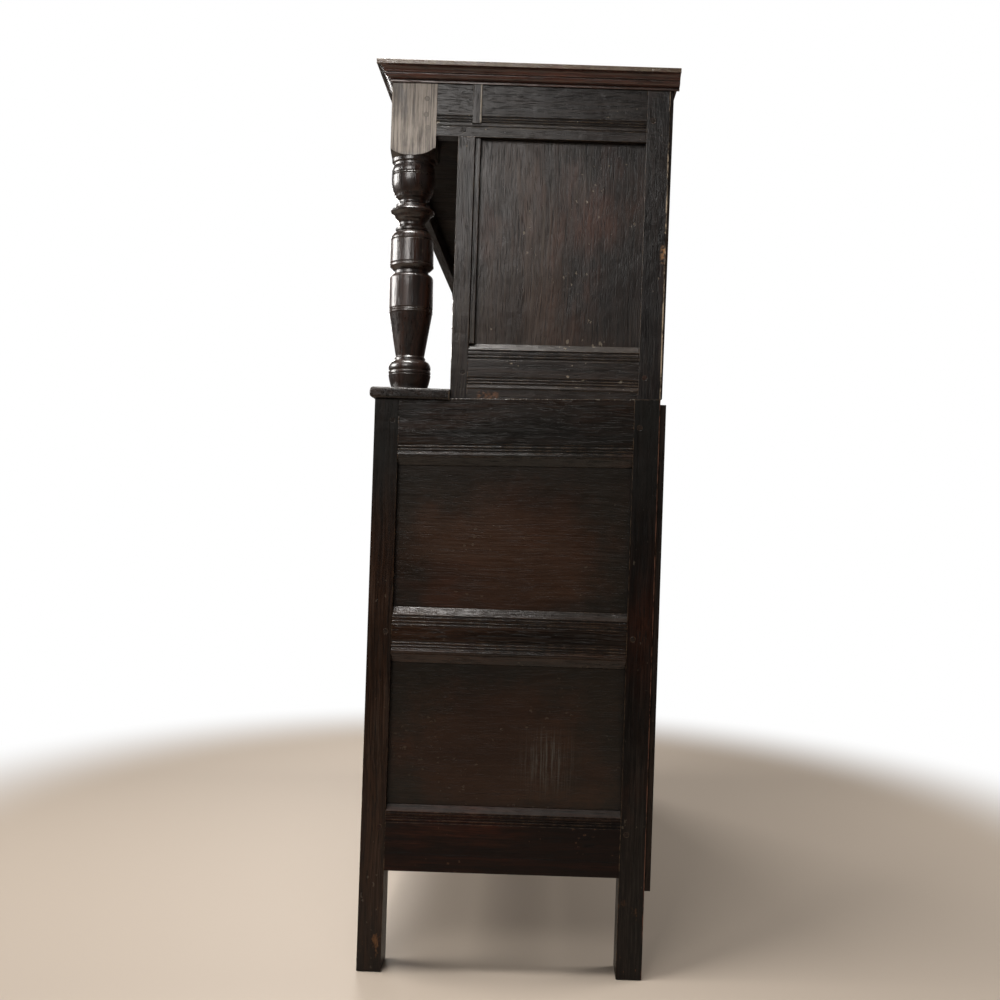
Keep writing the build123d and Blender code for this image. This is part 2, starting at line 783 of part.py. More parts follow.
def at(radius, height):
    """A point of the half section, by its radius and its height above the ledge."""
    return (radius, height - shaft_lean_height)


with BuildPart() as shaft:
    with BuildSketch(shaft_plane):
        with BuildLine():
            Line(at(0, -2), at(33.5, -2))
            Line(at(33.5, -2), at(33.5, 5))
            ThreePointArc(at(33.5, 5), at(36.6, 15), at(38.8, 27.5))  # foot
            Polyline(at(38.8, 27.5), at(37.4, 29), at(38.8, 30.5), at(38.6, 34), at(37.2, 35.5), at(38.2, 37))
            ThreePointArc(at(38.2, 37), at(36.7, 48), at(28.5, 54.5))
            Polyline(at(28.5, 54.5), at(28.3, 59), at(26.2, 62))
            Polyline(at(26.2, 62), at(39.4, 140))  # tapered vase
            Polyline(at(39.4, 140), at(40.4, 143.5), at(39.2, 145.2), at(40.4, 147))
            Polyline(at(40.4, 147), at(39.2, 149), at(40.4, 151))
            Line(at(40.4, 151), at(40.2, 206))  # lower drum
            ThreePointArc(at(40.2, 206), at(37.6, 210.8), at(31.6, 214))
            Polyline(at(31.6, 214), at(31.2, 219.5))
            ThreePointArc(at(31.2, 219.5), at(36.2, 223.6), at(40.6, 228))
            Polyline(at(40.6, 228), at(40.6, 231), at(39.0, 232.8), at(40.2, 234.6))
            Line(at(40.2, 234.6), at(39.4, 275))  # upper drum
            Polyline(at(39.4, 275), at(37.9, 276.6), at(39.1, 278.2))
            ThreePointArc(at(39.1, 278.2), at(36.6, 286), at(29.6, 292.5))
            Polyline(at(29.6, 292.5), at(31.2, 294.5), at(31.2, 298))
            ThreePointArc(at(31.2, 298), at(24.2, 306.5), at(29.4, 315.6))  # neck
            Polyline(at(29.4, 315.6), at(31.8, 318), at(34.2, 323), at(39.6, 327.2), at(40.6, 330))
            Polyline(at(40.6, 330), at(39.2, 332.6), at(31.6, 337), at(31.4, 341.5))
            ThreePointArc(at(31.4, 341.5), at(25.2, 347.5), at(28.4, 353.4))  # upper neck
            Polyline(at(28.4, 353.4), at(31.4, 356), at(32.6, 360.5), at(34.6, 361.5))
            ThreePointArc(at(34.6, 361.5), at(39.2, 376), at(40.2, 393))  # ball
            Polyline(at(40.2, 393), at(39.0, 394.6), at(40.2, 396.2), at(39.0, 398), at(39.9, 399.8))
            ThreePointArc(at(39.9, 399.8), at(39.4, 406), at(37.4, 412.5))
            Polyline(at(37.4, 412.5), at(37.4, 416.5), at(40.4, 418.5), at(40.6, 424.5))
            ThreePointArc(at(40.6, 424.5), at(50, 430), at(corner, shaft_height))  # shoulder under the block
            Polyline(at(corner, shaft_height), at(0, shaft_height), at(0, -2))
        make_face()
    revolve(axis=Axis(shaft_plane.origin, shaft_plane.y_dir))
    with Locations((pillar_x, pillar_y, overall_height / 2)):
        Box(block_width, block_width, overall_height, mode=Mode.INTERSECT)
    span_box((0, case_length), (base_front, upper_front), (0, ledge_top), Mode.SUBTRACT)

with BuildPart() as pillar:
    add(shaft.part)
    block_foot = ledge_top + shaft_height - shaft_overlap
    span_box((block_inner, upper_half), (block_front, block_back), (block_foot, frame_top))
    with Locations((pillar_x, pillar_y, ledge_top)):
        Cylinder(pillar_pin_radius, 2 * pillar_pin_length)
    cut([frieze_side_tenons[0], frieze_front_tenon])
    drill([*upper_pegs, *frieze_front_pegs])

with BuildPart() as drilled_frieze_rail:
    add(frieze_front_rail)
    drill(frieze_front_pegs)

# Strips planted on the frieze, and the bead beside each upper side panel

side_strip_y = (base_front + strip_place, base_front + strip_place + strip_width)
strip_z = (frieze_bottom + strip_lift, cornice_bottom)
bead_x = (upper_half - panel_setback, upper_half - panel_bead_setback)
bead_y = (end_stile_back + panel_bead_gap, end_stile_back + panel_bead_gap + panel_bead_width)
side_strips = both_sides(
    [
        ((upper_half, upper_half + strip_proud), side_strip_y, strip_z),
        (bead_x, bead_y, (upper_rail_top, frieze_bottom)),
    ]
)
front_strips = both_sides(
    [
        (
            (muntin_centre - strip_width / 2, muntin_centre + strip_width / 2),
            (frieze_front - strip_proud, frieze_front),
            strip_z,
        )
    ]
)

# Cornice and top boards

cornice_y = (block_front - cornice_projection, base_front + cornice_back)
cornice_length = upper_half + cornice_projection

with BuildSketch() as cornice_section:
    with BuildLine():
        Polyline((0, 0), (3.5, 0), (3.5, 3.2), (1.8, 4.4), (4.6, 5.4))
        ThreePointArc((4.6, 5.4), (10.2, 8.2), (12.4, 13.2))  # ovolo
        Polyline((12.4, 13.2), (10.6, 14.2), (13.2, 15.6))
        ThreePointArc((13.2, 15.6), (16.4, 21.4), (23.6, 23.8))  # cove
        Polyline((23.6, 23.8), (cornice_projection, 24.2), (cornice_projection, cornice_height))
        Line((cornice_projection, cornice_height), (0, cornice_height))
        Line((0, cornice_height), (0, 0))
    make_face()

with BuildPart() as cornice_side:
    origin = (upper_half, cornice_y[1], cornice_bottom)
    with BuildSketch(Plane(origin=origin, x_dir=(1, 0, 0), z_dir=(0, -1, 0))):
        add(cornice_section.sketch)
    extrude(amount=cornice_y[1] - cornice_y[0])
    with BuildSketch(Plane.XY.offset(cornice_bottom)):
        Polygon(
            (upper_half, block_front), (cornice_length, cornice_y[0]), (upper_half, cornice_y[0]), align=None,
        )
    extrude(amount=cornice_height, mode=Mode.SUBTRACT)

with BuildPart() as cornice_front:
    origin = (cornice_length, block_front, cornice_bottom)
    with BuildSketch(Plane(origin=origin, x_dir=(0, -1, 0), z_dir=(-1, 0, 0))):
        add(cornice_section.sketch)
    extrude(amount=2 * cornice_length)
    with BuildSketch(Plane.XY.offset(cornice_bottom)):
        for side in (-1, 1):
            Polygon(
                (side * upper_half, block_front), (side * cornice_length, cornice_y[0]),
                (side * cornice_length, block_front), align=None,
            )
    extrude(amount=cornice_height, mode=Mode.SUBTRACT)

top_boards_y = (block_front, cornice_y[1])
top_spans = planks((-upper_half, upper_half), top_boards_y, (frame_top, overall_height), 3, "y")
upper_back_rails = []
for z, tenon in zip(upper_back_z, upper_back_tenons):
    with BuildPart() as upper_back_rail:
        span_box((-upper_post_inner, upper_post_inner), (upper_back_face, upper_back), z)
        fill(both_sides([tenon]))
        cut([upper_floor])
    upper_back_rails.append(upper_back_rail.part)

upper_back_boards = []
upper_board_x = (-upper_half + upper_board_margin, upper_half - upper_board_margin)
upper_board_y = (upper_back, upper_back + upper_board_head)
upper_board_z = (seam_back + upper_board_margin, frame_top)
for x, y, z in planks(upper_board_x, upper_board_y, upper_board_z, 6, "x"):
    with BuildPart() as riven_board:
        with BuildSketch(Plane.YZ.offset(x[0])):
            Polygon((y[0], z[0]), (y[0] + upper_board_foot, z[0]), (y[1], z[1]), (y[0], z[1]), align=None)
        extrude(amount=x[1] - x[0])
    upper_back_boards.append(riven_board.part)


# Doors


def door_leaf(x, z, face, hinge_side, panel_count):
    """The stiles, rails and panels of a door in the opening x by z, hung on pintles at its hinge side."""
    left, right = x[0] + fit_gap, x[1] - fit_gap
    bottom, top = z[0] + fit_gap, z[1] - fit_gap
    y = (face, face + front_thickness)
    rail_z = [(bottom, bottom + door_rail)]
    opening = (top - bottom - (panel_count + 1) * door_rail) / panel_count
    for _ in range(panel_count):
        low = rail_z[-1][1] + opening
        rail_z.append((low, low + door_rail))
    panel_y = (face + door_panel_setback, face + door_panel_setback + panel_thickness)
    panels = [
        (
            (left + door_stile - door_tongue, right - door_stile + door_tongue),
            panel_y,
            (low[1] - door_tongue, high[0] + door_tongue),
        )
        for low, high in zip(rail_z, rail_z[1:])
    ]
    inner_left, inner_right = left + door_stile, right - door_stile
    tenon_y = (face + (front_thickness - thin_tenon) / 2, face + (front_thickness + thin_tenon) / 2)
    tenons = []
    for low, high in rail_z:
        height = (low + tenon_shoulder, high - tenon_shoulder)
        tenons.append(((inner_left - door_tenon_length, inner_left), tenon_y, height))
        tenons.append(((inner_right, inner_right + door_tenon_length), tenon_y, height))

    pivot_x, pivot_y = pintle_place(x[0] if hinge_side == "left" else x[1], face)
    spindle_x = right - knob_edge if hinge_side == "left" else left + knob_edge
    middle_z = (bottom + top) / 2

    hinge_x = (left, left + door_stile) if hinge_side == "left" else (right - door_stile, right)
    free_x = (right - door_stile, right) if hinge_side == "left" else (left, left + door_stile)
    inside = (pivot_x, hinge_x[1]) if hinge_side == "left" else (hinge_x[0], pivot_x)
    with BuildPart() as hanging_stile:
        span_box(inside, y, (bottom, top))
        with BuildSketch(Plane.XY.offset(bottom)):
            with Locations((pivot_x, pivot_y)):
                Circle(front_thickness / 2)
        extrude(amount=top - bottom)
        with BuildSketch(Plane.XY.offset(z[0] - pintle_length)):
            with Locations((pivot_x, pivot_y)):
                Circle(pintle_radius)
        extrude(amount=z[1] - z[0] + 2 * pintle_length)
        cut([*tenons, *panels])

    with BuildPart() as closing_stile:
        span_box(free_x, y, (bottom, top))
        with BuildSketch(Plane(origin=(spindle_x, face, middle_z), z_dir=(0, 1, 0))):
            Circle(spindle_radius + running_clearance)
        extrude(amount=front_thickness, mode=Mode.SUBTRACT)
        cut([*tenons, *panels])

    rails = []
    for i, (low, high) in enumerate(rail_z):
        plane = Plane(origin=(inner_right, face + front_thickness, low), x_dir=(0, -1, 0), z_dir=(-1, 0, 0))
        below_panel, above_panel = i < panel_count, i > 0
        lower_grooves = groove_run(17.0, 2) if above_panel else []
        upper_grooves = groove_run(34.0, 2) if below_panel else []
        with BuildPart() as rail:
            with BuildSketch(plane):
                moulded_profile(
                    front_thickness, door_rail, depth=door_bevel_depth,
                    top_bevel=door_bevel_height if below_panel else 0.0,
                    bottom_bevel=door_bevel_height if above_panel else 0.0,
                    grooves=lower_grooves + upper_grooves,
                )
            extrude(amount=inner_right - inner_left)
            fill([tenon for tenon in tenons if tenon[2] == (low + tenon_shoulder, high - tenon_shoulder)])
            cut(panels)
        rails.append(rail.part)
    frame = [hanging_stile.part, closing_stile.part, *rails]
    return frame, [board(*span) for span in panels], (spindle_x, middle_z)


def turned_knob(x, z, face, tail=front_thickness + button_gap + button_thickness, stand_off=0.3):
    """A turned knob with its spindle, on an axis along Y; its collar stands just off the face."""
    plane = Plane(origin=(x, face, z), x_dir=(1, 0, 0), z_dir=(0, 0, 1))
    with BuildPart() as knob:
        with BuildSketch(plane):
            with BuildLine():
                Polyline((0, tail), (spindle_radius, tail), (spindle_radius, -stand_off))
                Polyline((spindle_radius, -stand_off), (11, -stand_off), (11, -3))
                ThreePointArc((11, -3), (7, -6), (6.5, -10))
                ThreePointArc((6.5, -10), (9, -14), (knob_radius - 2, -16.5))
                ThreePointArc((knob_radius - 2, -16.5), (knob_radius, -20.5), (knob_radius - 2, -25))
                ThreePointArc((knob_radius - 2, -25), (8, 1.3 - knob_reach), (2, -knob_reach))
                Polyline((2, -knob_reach), (0, -knob_reach), (0, tail))
            make_face()
        revolve(axis=Axis((x, face, z), (0, 1, 0)))
    return knob.part


def turn_button(x, z, face):
    """The wooden button on the inner end of a door's spindle, upright when it is clear of the frame."""
    back = face + front_thickness + button_gap
    with BuildPart() as button:
        button_x = (x - button_half_width, x + button_half_width)
        button_z = (z - button_half_length, z + button_half_length)
        span_box(button_x, (back, back + button_thickness), button_z)
        fillet(button.edges().filter_by(Axis.Y), radius=button_corner)
        with BuildSketch(Plane(origin=(x, back, z), z_dir=(0, 1, 0))):
            Circle(spindle_radius)
        extrude(amount=button_thickness, mode=Mode.SUBTRACT)
    return button.part


upper_door_z = (door_sill, head_rail_bottom)
base_door_z = (base_opening_bottom, base_opening_top)
doors = {
    "upper_door_left": ((-end_stile_inner, -muntin_outer), upper_door_z, upper_front, "left", 1),
    "upper_door_right": ((muntin_outer, end_stile_inner), upper_door_z, upper_front, "right", 1),
    "base_door_left": ((-post_inner, -muntin_outer), base_door_z, base_front, "left", 2),
    "base_door_right": ((muntin_outer, post_inner), base_door_z, base_front, "right", 2),
}
for name, (x, z, face, hinge_side, panel_count) in doors.items():
    frame, panels, (spindle_x, spindle_z) = door_leaf(x, z, face, hinge_side, panel_count)
    save(f"{name}_frame", *frame)
    save(f"{name}_panel" if panel_count == 1 else f"{name}_panels", *panels)
    knob, button = turned_knob(spindle_x, spindle_z, face), turn_button(spindle_x, spindle_z, face)
    save(f"{name}_turn_knob", knob, button)

# Drawers

drawers = {
    "drawer_left": (-post_inner, -muntin_outer),
    "drawer_centre": (-muntin_inner, muntin_inner),
    "drawer_right": (muntin_outer, post_inner),
}
for name, (low, high) in drawers.items():
    left, right = low + fit_gap, high - fit_gap
    bottom, top = drawer_rail_top + drawer_rest_gap, front_top_z[0] - fit_gap
    middle_x, middle_z = (left + right) / 2, (bottom + top) / 2
    box_front, box_back = base_front + drawer_front_thickness, base_front + drawer_length
    with BuildPart() as drawer_front:
        span_box((left, right), (base_front, box_front), (bottom, top))
        chamfer(drawer_front.faces().sort_by(Axis.Y)[0].edges(), length=drawer_front_bevel)
        with BuildSketch(Plane(origin=(middle_x, base_front, middle_z), z_dir=(0, 1, 0))):
            Circle(spindle_radius)
        extrude(amount=drawer_front_thickness, mode=Mode.SUBTRACT)
    side_z = (bottom + drawer_bottom_thickness, bottom + drawer_bottom_thickness + drawer_side_height)
    box_left, box_right = left + drawer_side_gap, right - drawer_side_gap
    sides = [
        board((box_left, box_left + drawer_side_thickness), (box_front, box_back), side_z),
        board((box_right - drawer_side_thickness, box_right), (box_front, box_back), side_z),
    ]
    back = board(
        (box_left + drawer_side_thickness, box_right - drawer_side_thickness),
        (box_back - drawer_side_thickness, box_back), (side_z[0], side_z[1] - drawer_back_drop),
    )
    floor = board((box_left, box_right), (box_front, box_back), (bottom, bottom + drawer_bottom_thickness))
    save(f"{name}_front", drawer_front.part)
    save(f"{name}_box", *sides, back, floor)
    save(
        f"{name}_knob",
        turned_knob(middle_x, middle_z, base_front, tail=drawer_front_thickness, stand_off=0.0),
    )

# Pegs

pegs = []
for x, y, z, axis in [
    *base_side_pegs, *[(-x, y, z, axis) for x, y, z, axis in base_side_pegs], *base_front_pegs,
    *upper_pegs, *[(-x, y, z, axis) for x, y, z, axis in upper_pegs], *upper_front_pegs, *frieze_front_pegs,
]:
    with BuildPart() as peg:
        peg_cylinders([(x, y, z, axis)])
    pegs.append(peg.part)

# Nodes of the fixed case

base_floor_boards = [board(*span, cuts=base_corner_posts) for span in planks(*base_floor, 3, "y")]
upper_corner_posts = both_sides(
    [
        ((end_stile_inner, upper_half), (upper_front, end_stile_back), (base_height, frame_top)),
        ((upper_post_inner, upper_half), (upper_post_front, upper_back), (base_height, frame_top)),
    ]
)
save("base_front_post_right", base_front_post.part)
save("base_front_post_left", mirrored(base_front_post.part))
save("base_back_post_right", base_back_post.part)
save("base_back_post_left", mirrored(base_back_post.part))
save("base_side_rails_right", *base_side_rails)
save("base_side_rails_left", *[mirrored(rail) for rail in base_side_rails])
save("base_side_panels_right", *base_side_panels)
save("base_side_panels_left", *[mirrored(panel) for panel in base_side_panels])
save("base_front_rails", base_front_top_rail.part, base_drawer_rail.part, base_front_bottom_rail.part)
base_muntins = [drawer_muntin, door_muntin, mirrored(drawer_muntin), mirrored(door_muntin)]
save("base_front_muntins", *base_muntins, base_centre_rail)
save("base_centre_panels", *[board(*span) for span in base_centre_panels])
save("base_back_rails", *base_back_rails)
save("base_back_boards", *[board(*span) for span in base_back_spans])
save("base_floor_boards", *base_floor_boards)
save("drawer_runners", *[board(*span) for span in runners])
save("ledge_board", ledge_board.part)
save("pillar_right", pillar.part)
save("pillar_left", mirrored(pillar.part))
save("upper_back_post_right", upper_back_post.part)
save("upper_back_post_left", mirrored(upper_back_post.part))
save("upper_end_stile_right", upper_end_stile.part)
save("upper_end_stile_left", mirrored(upper_end_stile.part))
save("upper_side_rails_right", upper_side_bottom_rail.part, frieze_side_rail)
save("upper_side_rails_left", mirrored(upper_side_bottom_rail.part), mirrored(frieze_side_rail))
save("upper_side_panel_right", upper_side_panel)
save("upper_side_panel_left", mirrored(upper_side_panel))
save("frieze_front_rail", drilled_frieze_rail.part)
save("planted_strips", *[board(*span) for span in side_strips + front_strips])
save("upper_front_rails", upper_sill_rail.part, upper_head_rail.part)
save("upper_front_muntins", upper_muntin, mirrored(upper_muntin))
save("upper_centre_panel", upper_centre_panel)
save("canopy_boards", *canopy_boards)
save("upper_floor_boards", *[board(*span, cuts=upper_corner_posts) for span in planks(*upper_floor, 3, "y")])
save("upper_back_boards", *upper_back_boards)
save("upper_back_rails", *upper_back_rails)
save("cornice_mouldings", cornice_front.part, cornice_side.part, mirrored(cornice_side.part))
save("top_boards", *[board(*span) for span in top_spans])
save("oak_pegs", *pegs)
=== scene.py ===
import math

import bpy
from mathutils import Matrix, Vector


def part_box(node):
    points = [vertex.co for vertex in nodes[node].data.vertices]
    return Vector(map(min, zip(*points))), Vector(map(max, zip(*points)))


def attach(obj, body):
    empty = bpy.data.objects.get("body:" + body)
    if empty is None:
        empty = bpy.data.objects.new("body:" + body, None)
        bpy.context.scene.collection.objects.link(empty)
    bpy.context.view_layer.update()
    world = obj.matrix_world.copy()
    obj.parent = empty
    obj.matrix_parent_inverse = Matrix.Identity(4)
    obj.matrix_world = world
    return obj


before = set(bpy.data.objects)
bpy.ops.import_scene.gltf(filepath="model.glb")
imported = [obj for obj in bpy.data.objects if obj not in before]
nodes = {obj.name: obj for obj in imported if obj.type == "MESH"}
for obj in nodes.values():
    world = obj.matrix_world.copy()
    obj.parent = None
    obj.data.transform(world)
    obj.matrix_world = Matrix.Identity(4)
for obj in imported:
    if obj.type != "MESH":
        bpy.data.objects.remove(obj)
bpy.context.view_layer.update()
scene = bpy.context.scene
print("frame loaded:", len(nodes), "nodes")


# Node helpers

def addNode(tree, kind, inputs=None, **settings):
    node = tree.nodes.new(kind)
    for name, value in settings.items():
        setattr(node, name, value)
    for key, value in (inputs or {}).items():
        if isinstance(value, bpy.types.NodeSocket):
            tree.links.new(value, node.inputs[key])
        else:
            node.inputs[key].default_value = value
    return node


def useGroup(tree, group, inputs):
    return addNode(tree, "ShaderNodeGroup", inputs, node_tree=group).outputs


def maths(tree, operation, first, second=0.0, third=0.0, clamp=False):
    inputs = {0: first, 1: second, 2: third}
    return addNode(tree, "ShaderNodeMath", inputs, operation=operation, use_clamp=clamp).outputs[0]


def product(tree, *factors):
    result = factors[0]
    for factor in factors[1:]:
        result = maths(tree, "MULTIPLY", result, factor)
    return result


def remap(tree, value, low, high, outLow=0.0, outHigh=1.0, smooth=True):
    kind = "SMOOTHSTEP" if smooth else "LINEAR"
    inputs = {"Value": value, "From Min": low, "From Max": high, "To Min": outLow, "To Max": outHigh}
    return addNode(tree, "ShaderNodeMapRange", inputs, interpolation_type=kind).outputs["Result"]


def within(tree, value, low, high, soft):
    rise = remap(tree, value, low - soft, low + soft)
    fall = remap(tree, value, high - soft, high + soft, 1.0, 0.0)
    return maths(tree, "MULTIPLY", rise, fall)


def blendColour(tree, factor, first, second, mode="MIX"):
    inputs = {0: factor, 6: first, 7: second}
    return addNode(tree, "ShaderNodeMix", inputs, data_type="RGBA", blend_type=mode).outputs[2]


def blendPlace(tree, factor, first, second):
    inputs = {0: factor, 4: first, 5: second}
    return addNode(tree, "ShaderNodeMix", inputs, data_type="VECTOR").outputs[1]


def noise(tree, place, scale, detail=3.0, roughness=0.55, distortion=0.0):
    inputs = {
        "Vector": place, "Scale": scale, "Detail": detail, "Roughness": roughness, "Distortion": distortion,
    }
    return addNode(tree, "ShaderNodeTexNoise", inputs).outputs["Fac"]


def noiseVector(tree, place, scale, detail):
    inputs = {"Vector": place, "Scale": scale, "Detail": detail}
    return addNode(tree, "ShaderNodeTexNoise", inputs).outputs["Color"]


def stretch(tree, place, factors, offset=(0, 0, 0)):
    inputs = {"Vector": place, "Scale": factors, "Location": offset}
    return addNode(tree, "ShaderNodeMapping", inputs).outputs["Vector"]


def drawnNoise(tree, place, along, scale, detail, roughness, distortion=0.0):
    return noise(tree, stretch(tree, place, (1, 1, along)), scale, detail, roughness, distortion)


def nudge(tree, place, direction, reach):
    inputs = {0: direction, 1: reach, 2: place}
    return addNode(tree, "ShaderNodeVectorMath", inputs, operation="MULTIPLY_ADD").outputs[0]


def axes(tree, place):
    return addNode(tree, "ShaderNodeSeparateXYZ", {0: place}).outputs


def rgba(colour):
    return (*colour, 1.0)


def newGroup(name, inputs, outputs):
    tree = bpy.data.node_groups.new(name, "ShaderNodeTree")
    for label, kind, value in inputs:
        socket = tree.interface.new_socket(name=label, in_out="INPUT", socket_type=kind)
        if value is not None:
            socket.default_value = value
    for label, kind in outputs:
        tree.interface.new_socket(name=label, in_out="OUTPUT", socket_type=kind)
    entry = tree.nodes.new("NodeGroupInput")
    leave = tree.nodes.new("NodeGroupOutput")
    return tree, entry.outputs, leave.inputs


# Aged oak: colour, roughness and relief of old polished wood, its grain along the third coordinate of Place

def makeOakGroup():
    tree, given, made = newGroup(
        "Aged Oak",
        [
            ("Place", "NodeSocketVector", None),
            ("Dark", "NodeSocketColor", (0.006, 0.0036, 0.0024, 1)),
            ("Brown", "NodeSocketColor", (0.024, 0.0125, 0.0072, 1)),
            ("Red", "NodeSocketColor", (0.04, 0.014, 0.006, 1)),
            ("Pore", "NodeSocketColor", (0.0016, 0.0011, 0.0009, 1)),
            ("Dust", "NodeSocketColor", (0.11, 0.1, 0.085, 1)),
            ("Grain", "NodeSocketFloat", 0.5),
            ("Figure", "NodeSocketFloat", 0.5),
            ("Warmth", "NodeSocketFloat", 0.5),
            ("Speckle", "NodeSocketFloat", 0.3),
            ("Film", "NodeSocketFloat", 0.2),
            ("Gloss", "NodeSocketFloat", 0.5),
        ],
        [("Colour", "NodeSocketColor"), ("Roughness", "NodeSocketFloat"), ("Relief", "NodeSocketFloat")],
    )
    place = given["Place"]
    bent = nudge(tree, place, noiseVector(tree, place, 3.0, 2.0), (0.03, 0.03, 0.0))
    fibre = drawnNoise(tree, bent, 0.022, 1500.0, 3.0, 0.6)
    pore = drawnNoise(tree, bent, 0.035, 620.0, 2.0, 0.5)
    poreMask = remap(tree, pore, 0.56, 0.7)
    streak = drawnNoise(tree, bent, 0.014, 330.0, 4.0, 0.65)
    ring = drawnNoise(tree, bent, 0.05, 75.0, 3.0, 0.6, 0.4)
    broad = drawnNoise(tree, bent, 0.25, 7.0, 4.0, 0.6)
    patina = noise(tree, place, 2.4, 3.0, 0.5)
    figure = maths(tree, "MULTIPLY_ADD", maths(tree, "SUBTRACT", ring, 0.5), given["Figure"], broad)
    figure = maths(tree, "MULTIPLY_ADD", maths(tree, "SUBTRACT", patina, 0.5), 0.7, figure)
    base = blendColour(tree, remap(tree, figure, 0.28, 0.78), given["Dark"], given["Brown"])
    ruddy = noise(tree, stretch(tree, bent, (1, 1, 0.45), (0.7, 0.3, 0.9)), 5.5, 4.0, 0.65)
    ruddy = remap(tree, ruddy, 0.5, 0.72)
    base = blendColour(tree, product(tree, ruddy, given["Warmth"]), base, given["Red"])
    fine = remap(tree, fibre, 0.35, 0.7, 0.7, 1.4, smooth=False)
    coarse = remap(tree, streak, 0.36, 0.66, 0.6, 1.5, smooth=False)
    lined = blendColour(tree, 1.0, blendColour(tree, 1.0, base, fine, "MULTIPLY"), coarse, "MULTIPLY")
    streaked = blendColour(tree, given["Grain"], base, lined)
    pored = blendColour(tree, product(tree, poreMask, given["Grain"]), streaked, given["Pore"])

    # A thin grey film of old wax and dust, caught in the grain
    filmPatch = remap(tree, drawnNoise(tree, bent, 0.3, 9.0, 4.0, 0.65), 0.42, 0.72)
    filmGrain = remap(tree, streak, 0.45, 0.68)
    film = product(tree, filmPatch, filmGrain, given["Film"])
    filmed = blendColour(tree, film, pored, given["Dust"])

    # Small pale chips where the dark surface has broken away
    torn = nudge(tree, place, noiseVector(tree, place, 380.0, 2.0), (0.006, 0.006, 0.006))
    chips = addNode(tree, "ShaderNodeTexVoronoi", {"Vector": stretch(tree, torn, (1, 1, 0.6)), "Scale": 95.0})
    chipSize = remap(tree, noise(tree, place, 11.0, 3.0, 0.7), 0.45, 0.72, 0.0, 0.24)
    chipMask = maths(tree, "LESS_THAN", chips.outputs["Distance"], chipSize)
    chipped = blendColour(tree, product(tree, chipMask, given["Speckle"]), filmed, (0.22, 0.18, 0.13, 1))
    tree.links.new(chipped, made["Colour"])

    smudge = noise(tree, place, 14.0, 4.0, 0.65)
    shine = maths(tree, "MULTIPLY_ADD", given["Gloss"], -0.36, 0.5)
    rough = maths(tree, "MULTIPLY_ADD", smudge, 0.24, shine)
    rough = maths(tree, "MULTIPLY_ADD", maths(tree, "SUBTRACT", streak, 0.5), 0.55, rough)
    rough = maths(tree, "MULTIPLY_ADD", poreMask, 0.35, rough)
    rough = maths(tree, "MULTIPLY_ADD", film, 0.3, rough, clamp=True)
    tree.links.new(rough, made["Roughness"])
    relief = maths(tree, "MULTIPLY_ADD", fibre, 0.35, product(tree, ring, 0.4))
    relief = maths(tree, "MULTIPLY_ADD", streak, 0.5, relief)
    relief = maths(tree, "MULTIPLY_ADD", poreMask, -0.55, relief)
    ripples = drawnNoise(tree, bent, 0.12, 170.0, 2.0, 0.6)
    relief = maths(tree, "MULTIPLY_ADD", ripples, 0.35, relief)
    relief = maths(tree, "MULTIPLY_ADD", smudge, 0.8, relief)
    relief = maths(tree, "MULTIPLY_ADD", chipMask, -2.0, relief)
    tree.links.new(relief, made["Relief"])
    return tree


# Edge wear: polish rubbed off the arrises, painted shade darkening the corners and grooves, dust on what
# faces upwards

def makeWearGroup():
    tree, given, made = newGroup(
        "Edge Wear",
        [
            ("Place", "NodeSocketVector", None),
            ("Width", "NodeSocketFloat", 0.002),
            ("Amount", "NodeSocketFloat", 0.5),
        ],
        [
            ("Wear", "NodeSocketFloat"), ("Hollow Shade", "NodeSocketFloat"), ("Shelf", "NodeSocketFloat"),
            ("Normal", "NodeSocketVector"),
        ],
    )
    bevel = addNode(tree, "ShaderNodeBevel", {"Radius": given["Width"]}, samples=6).outputs["Normal"]
    facing = addNode(tree, "ShaderNodeNewGeometry").outputs["True Normal"]
    turned = addNode(tree, "ShaderNodeVectorMath", {0: bevel, 1: facing}, operation="DOT_PRODUCT")
    edge = remap(tree, turned.outputs["Value"], 0.995, 0.86)
    hollow = addNode(tree, "ShaderNodeAmbientOcclusion", {"Distance": 0.02}, samples=6).outputs["AO"]
    exposed = remap(tree, hollow, 0.55, 0.85)
    broken = noise(tree, given["Place"], 55.0, 4.0, 0.75)
    patch = remap(tree, maths(tree, "MULTIPLY_ADD", given["Amount"], 0.35, broken), 0.6, 0.78)
    tree.links.new(product(tree, edge, exposed, patch), made["Wear"])
    # Hollow Shade: painted shade, a mask from ambient occlusion that darkens the colour in corners and
    # grooves
    tree.links.new(remap(tree, hollow, 0.75, 0.3), made["Hollow Shade"])
    upward = remap(tree, axes(tree, facing)["Z"], 0.3, 0.75)
    settled = remap(tree, noise(tree, given["Place"], 38.0, 4.0, 0.7), 0.3, 0.62, 0.35, 1.0)
    tree.links.new(product(tree, upward, settled), made["Shelf"])
    tree.links.new(bevel, made["Normal"])
    return tree


# Hand work: the slight waves that a plane and long use leave in a flat face

def makeHandWorkGroup():
    tree, given, made = newGroup(
        "Hand Work",
        [
            ("Place", "NodeSocketVector", None),
            ("Depth", "NodeSocketFloat", 0.35),
            ("Normal", "NodeSocketVector", None),
        ],
        [("Normal", "NodeSocketVector")],
    )
    waves = noise(tree, given["Place"], 16.0, 2.0, 0.45)
    dents = noise(tree, stretch(tree, given["Place"], (1, 1, 1), (0.4, 0.8, 0.2)), 70.0, 2.0, 0.5)
    height = maths(tree, "MULTIPLY_ADD", dents, 0.18, waves)
    bump = addNode(
        tree, "ShaderNodeBump",
        {"Strength": given["Depth"], "Distance": 0.004, "Height": height, "Normal": given["Normal"]},
    )
    tree.links.new(bump.outputs["Normal"], made["Normal"])
    return tree


oakGroup = makeOakGroup()
wearGroup = makeWearGroup()
handWorkGroup = makeHandWorkGroup()
print("shared effects made")


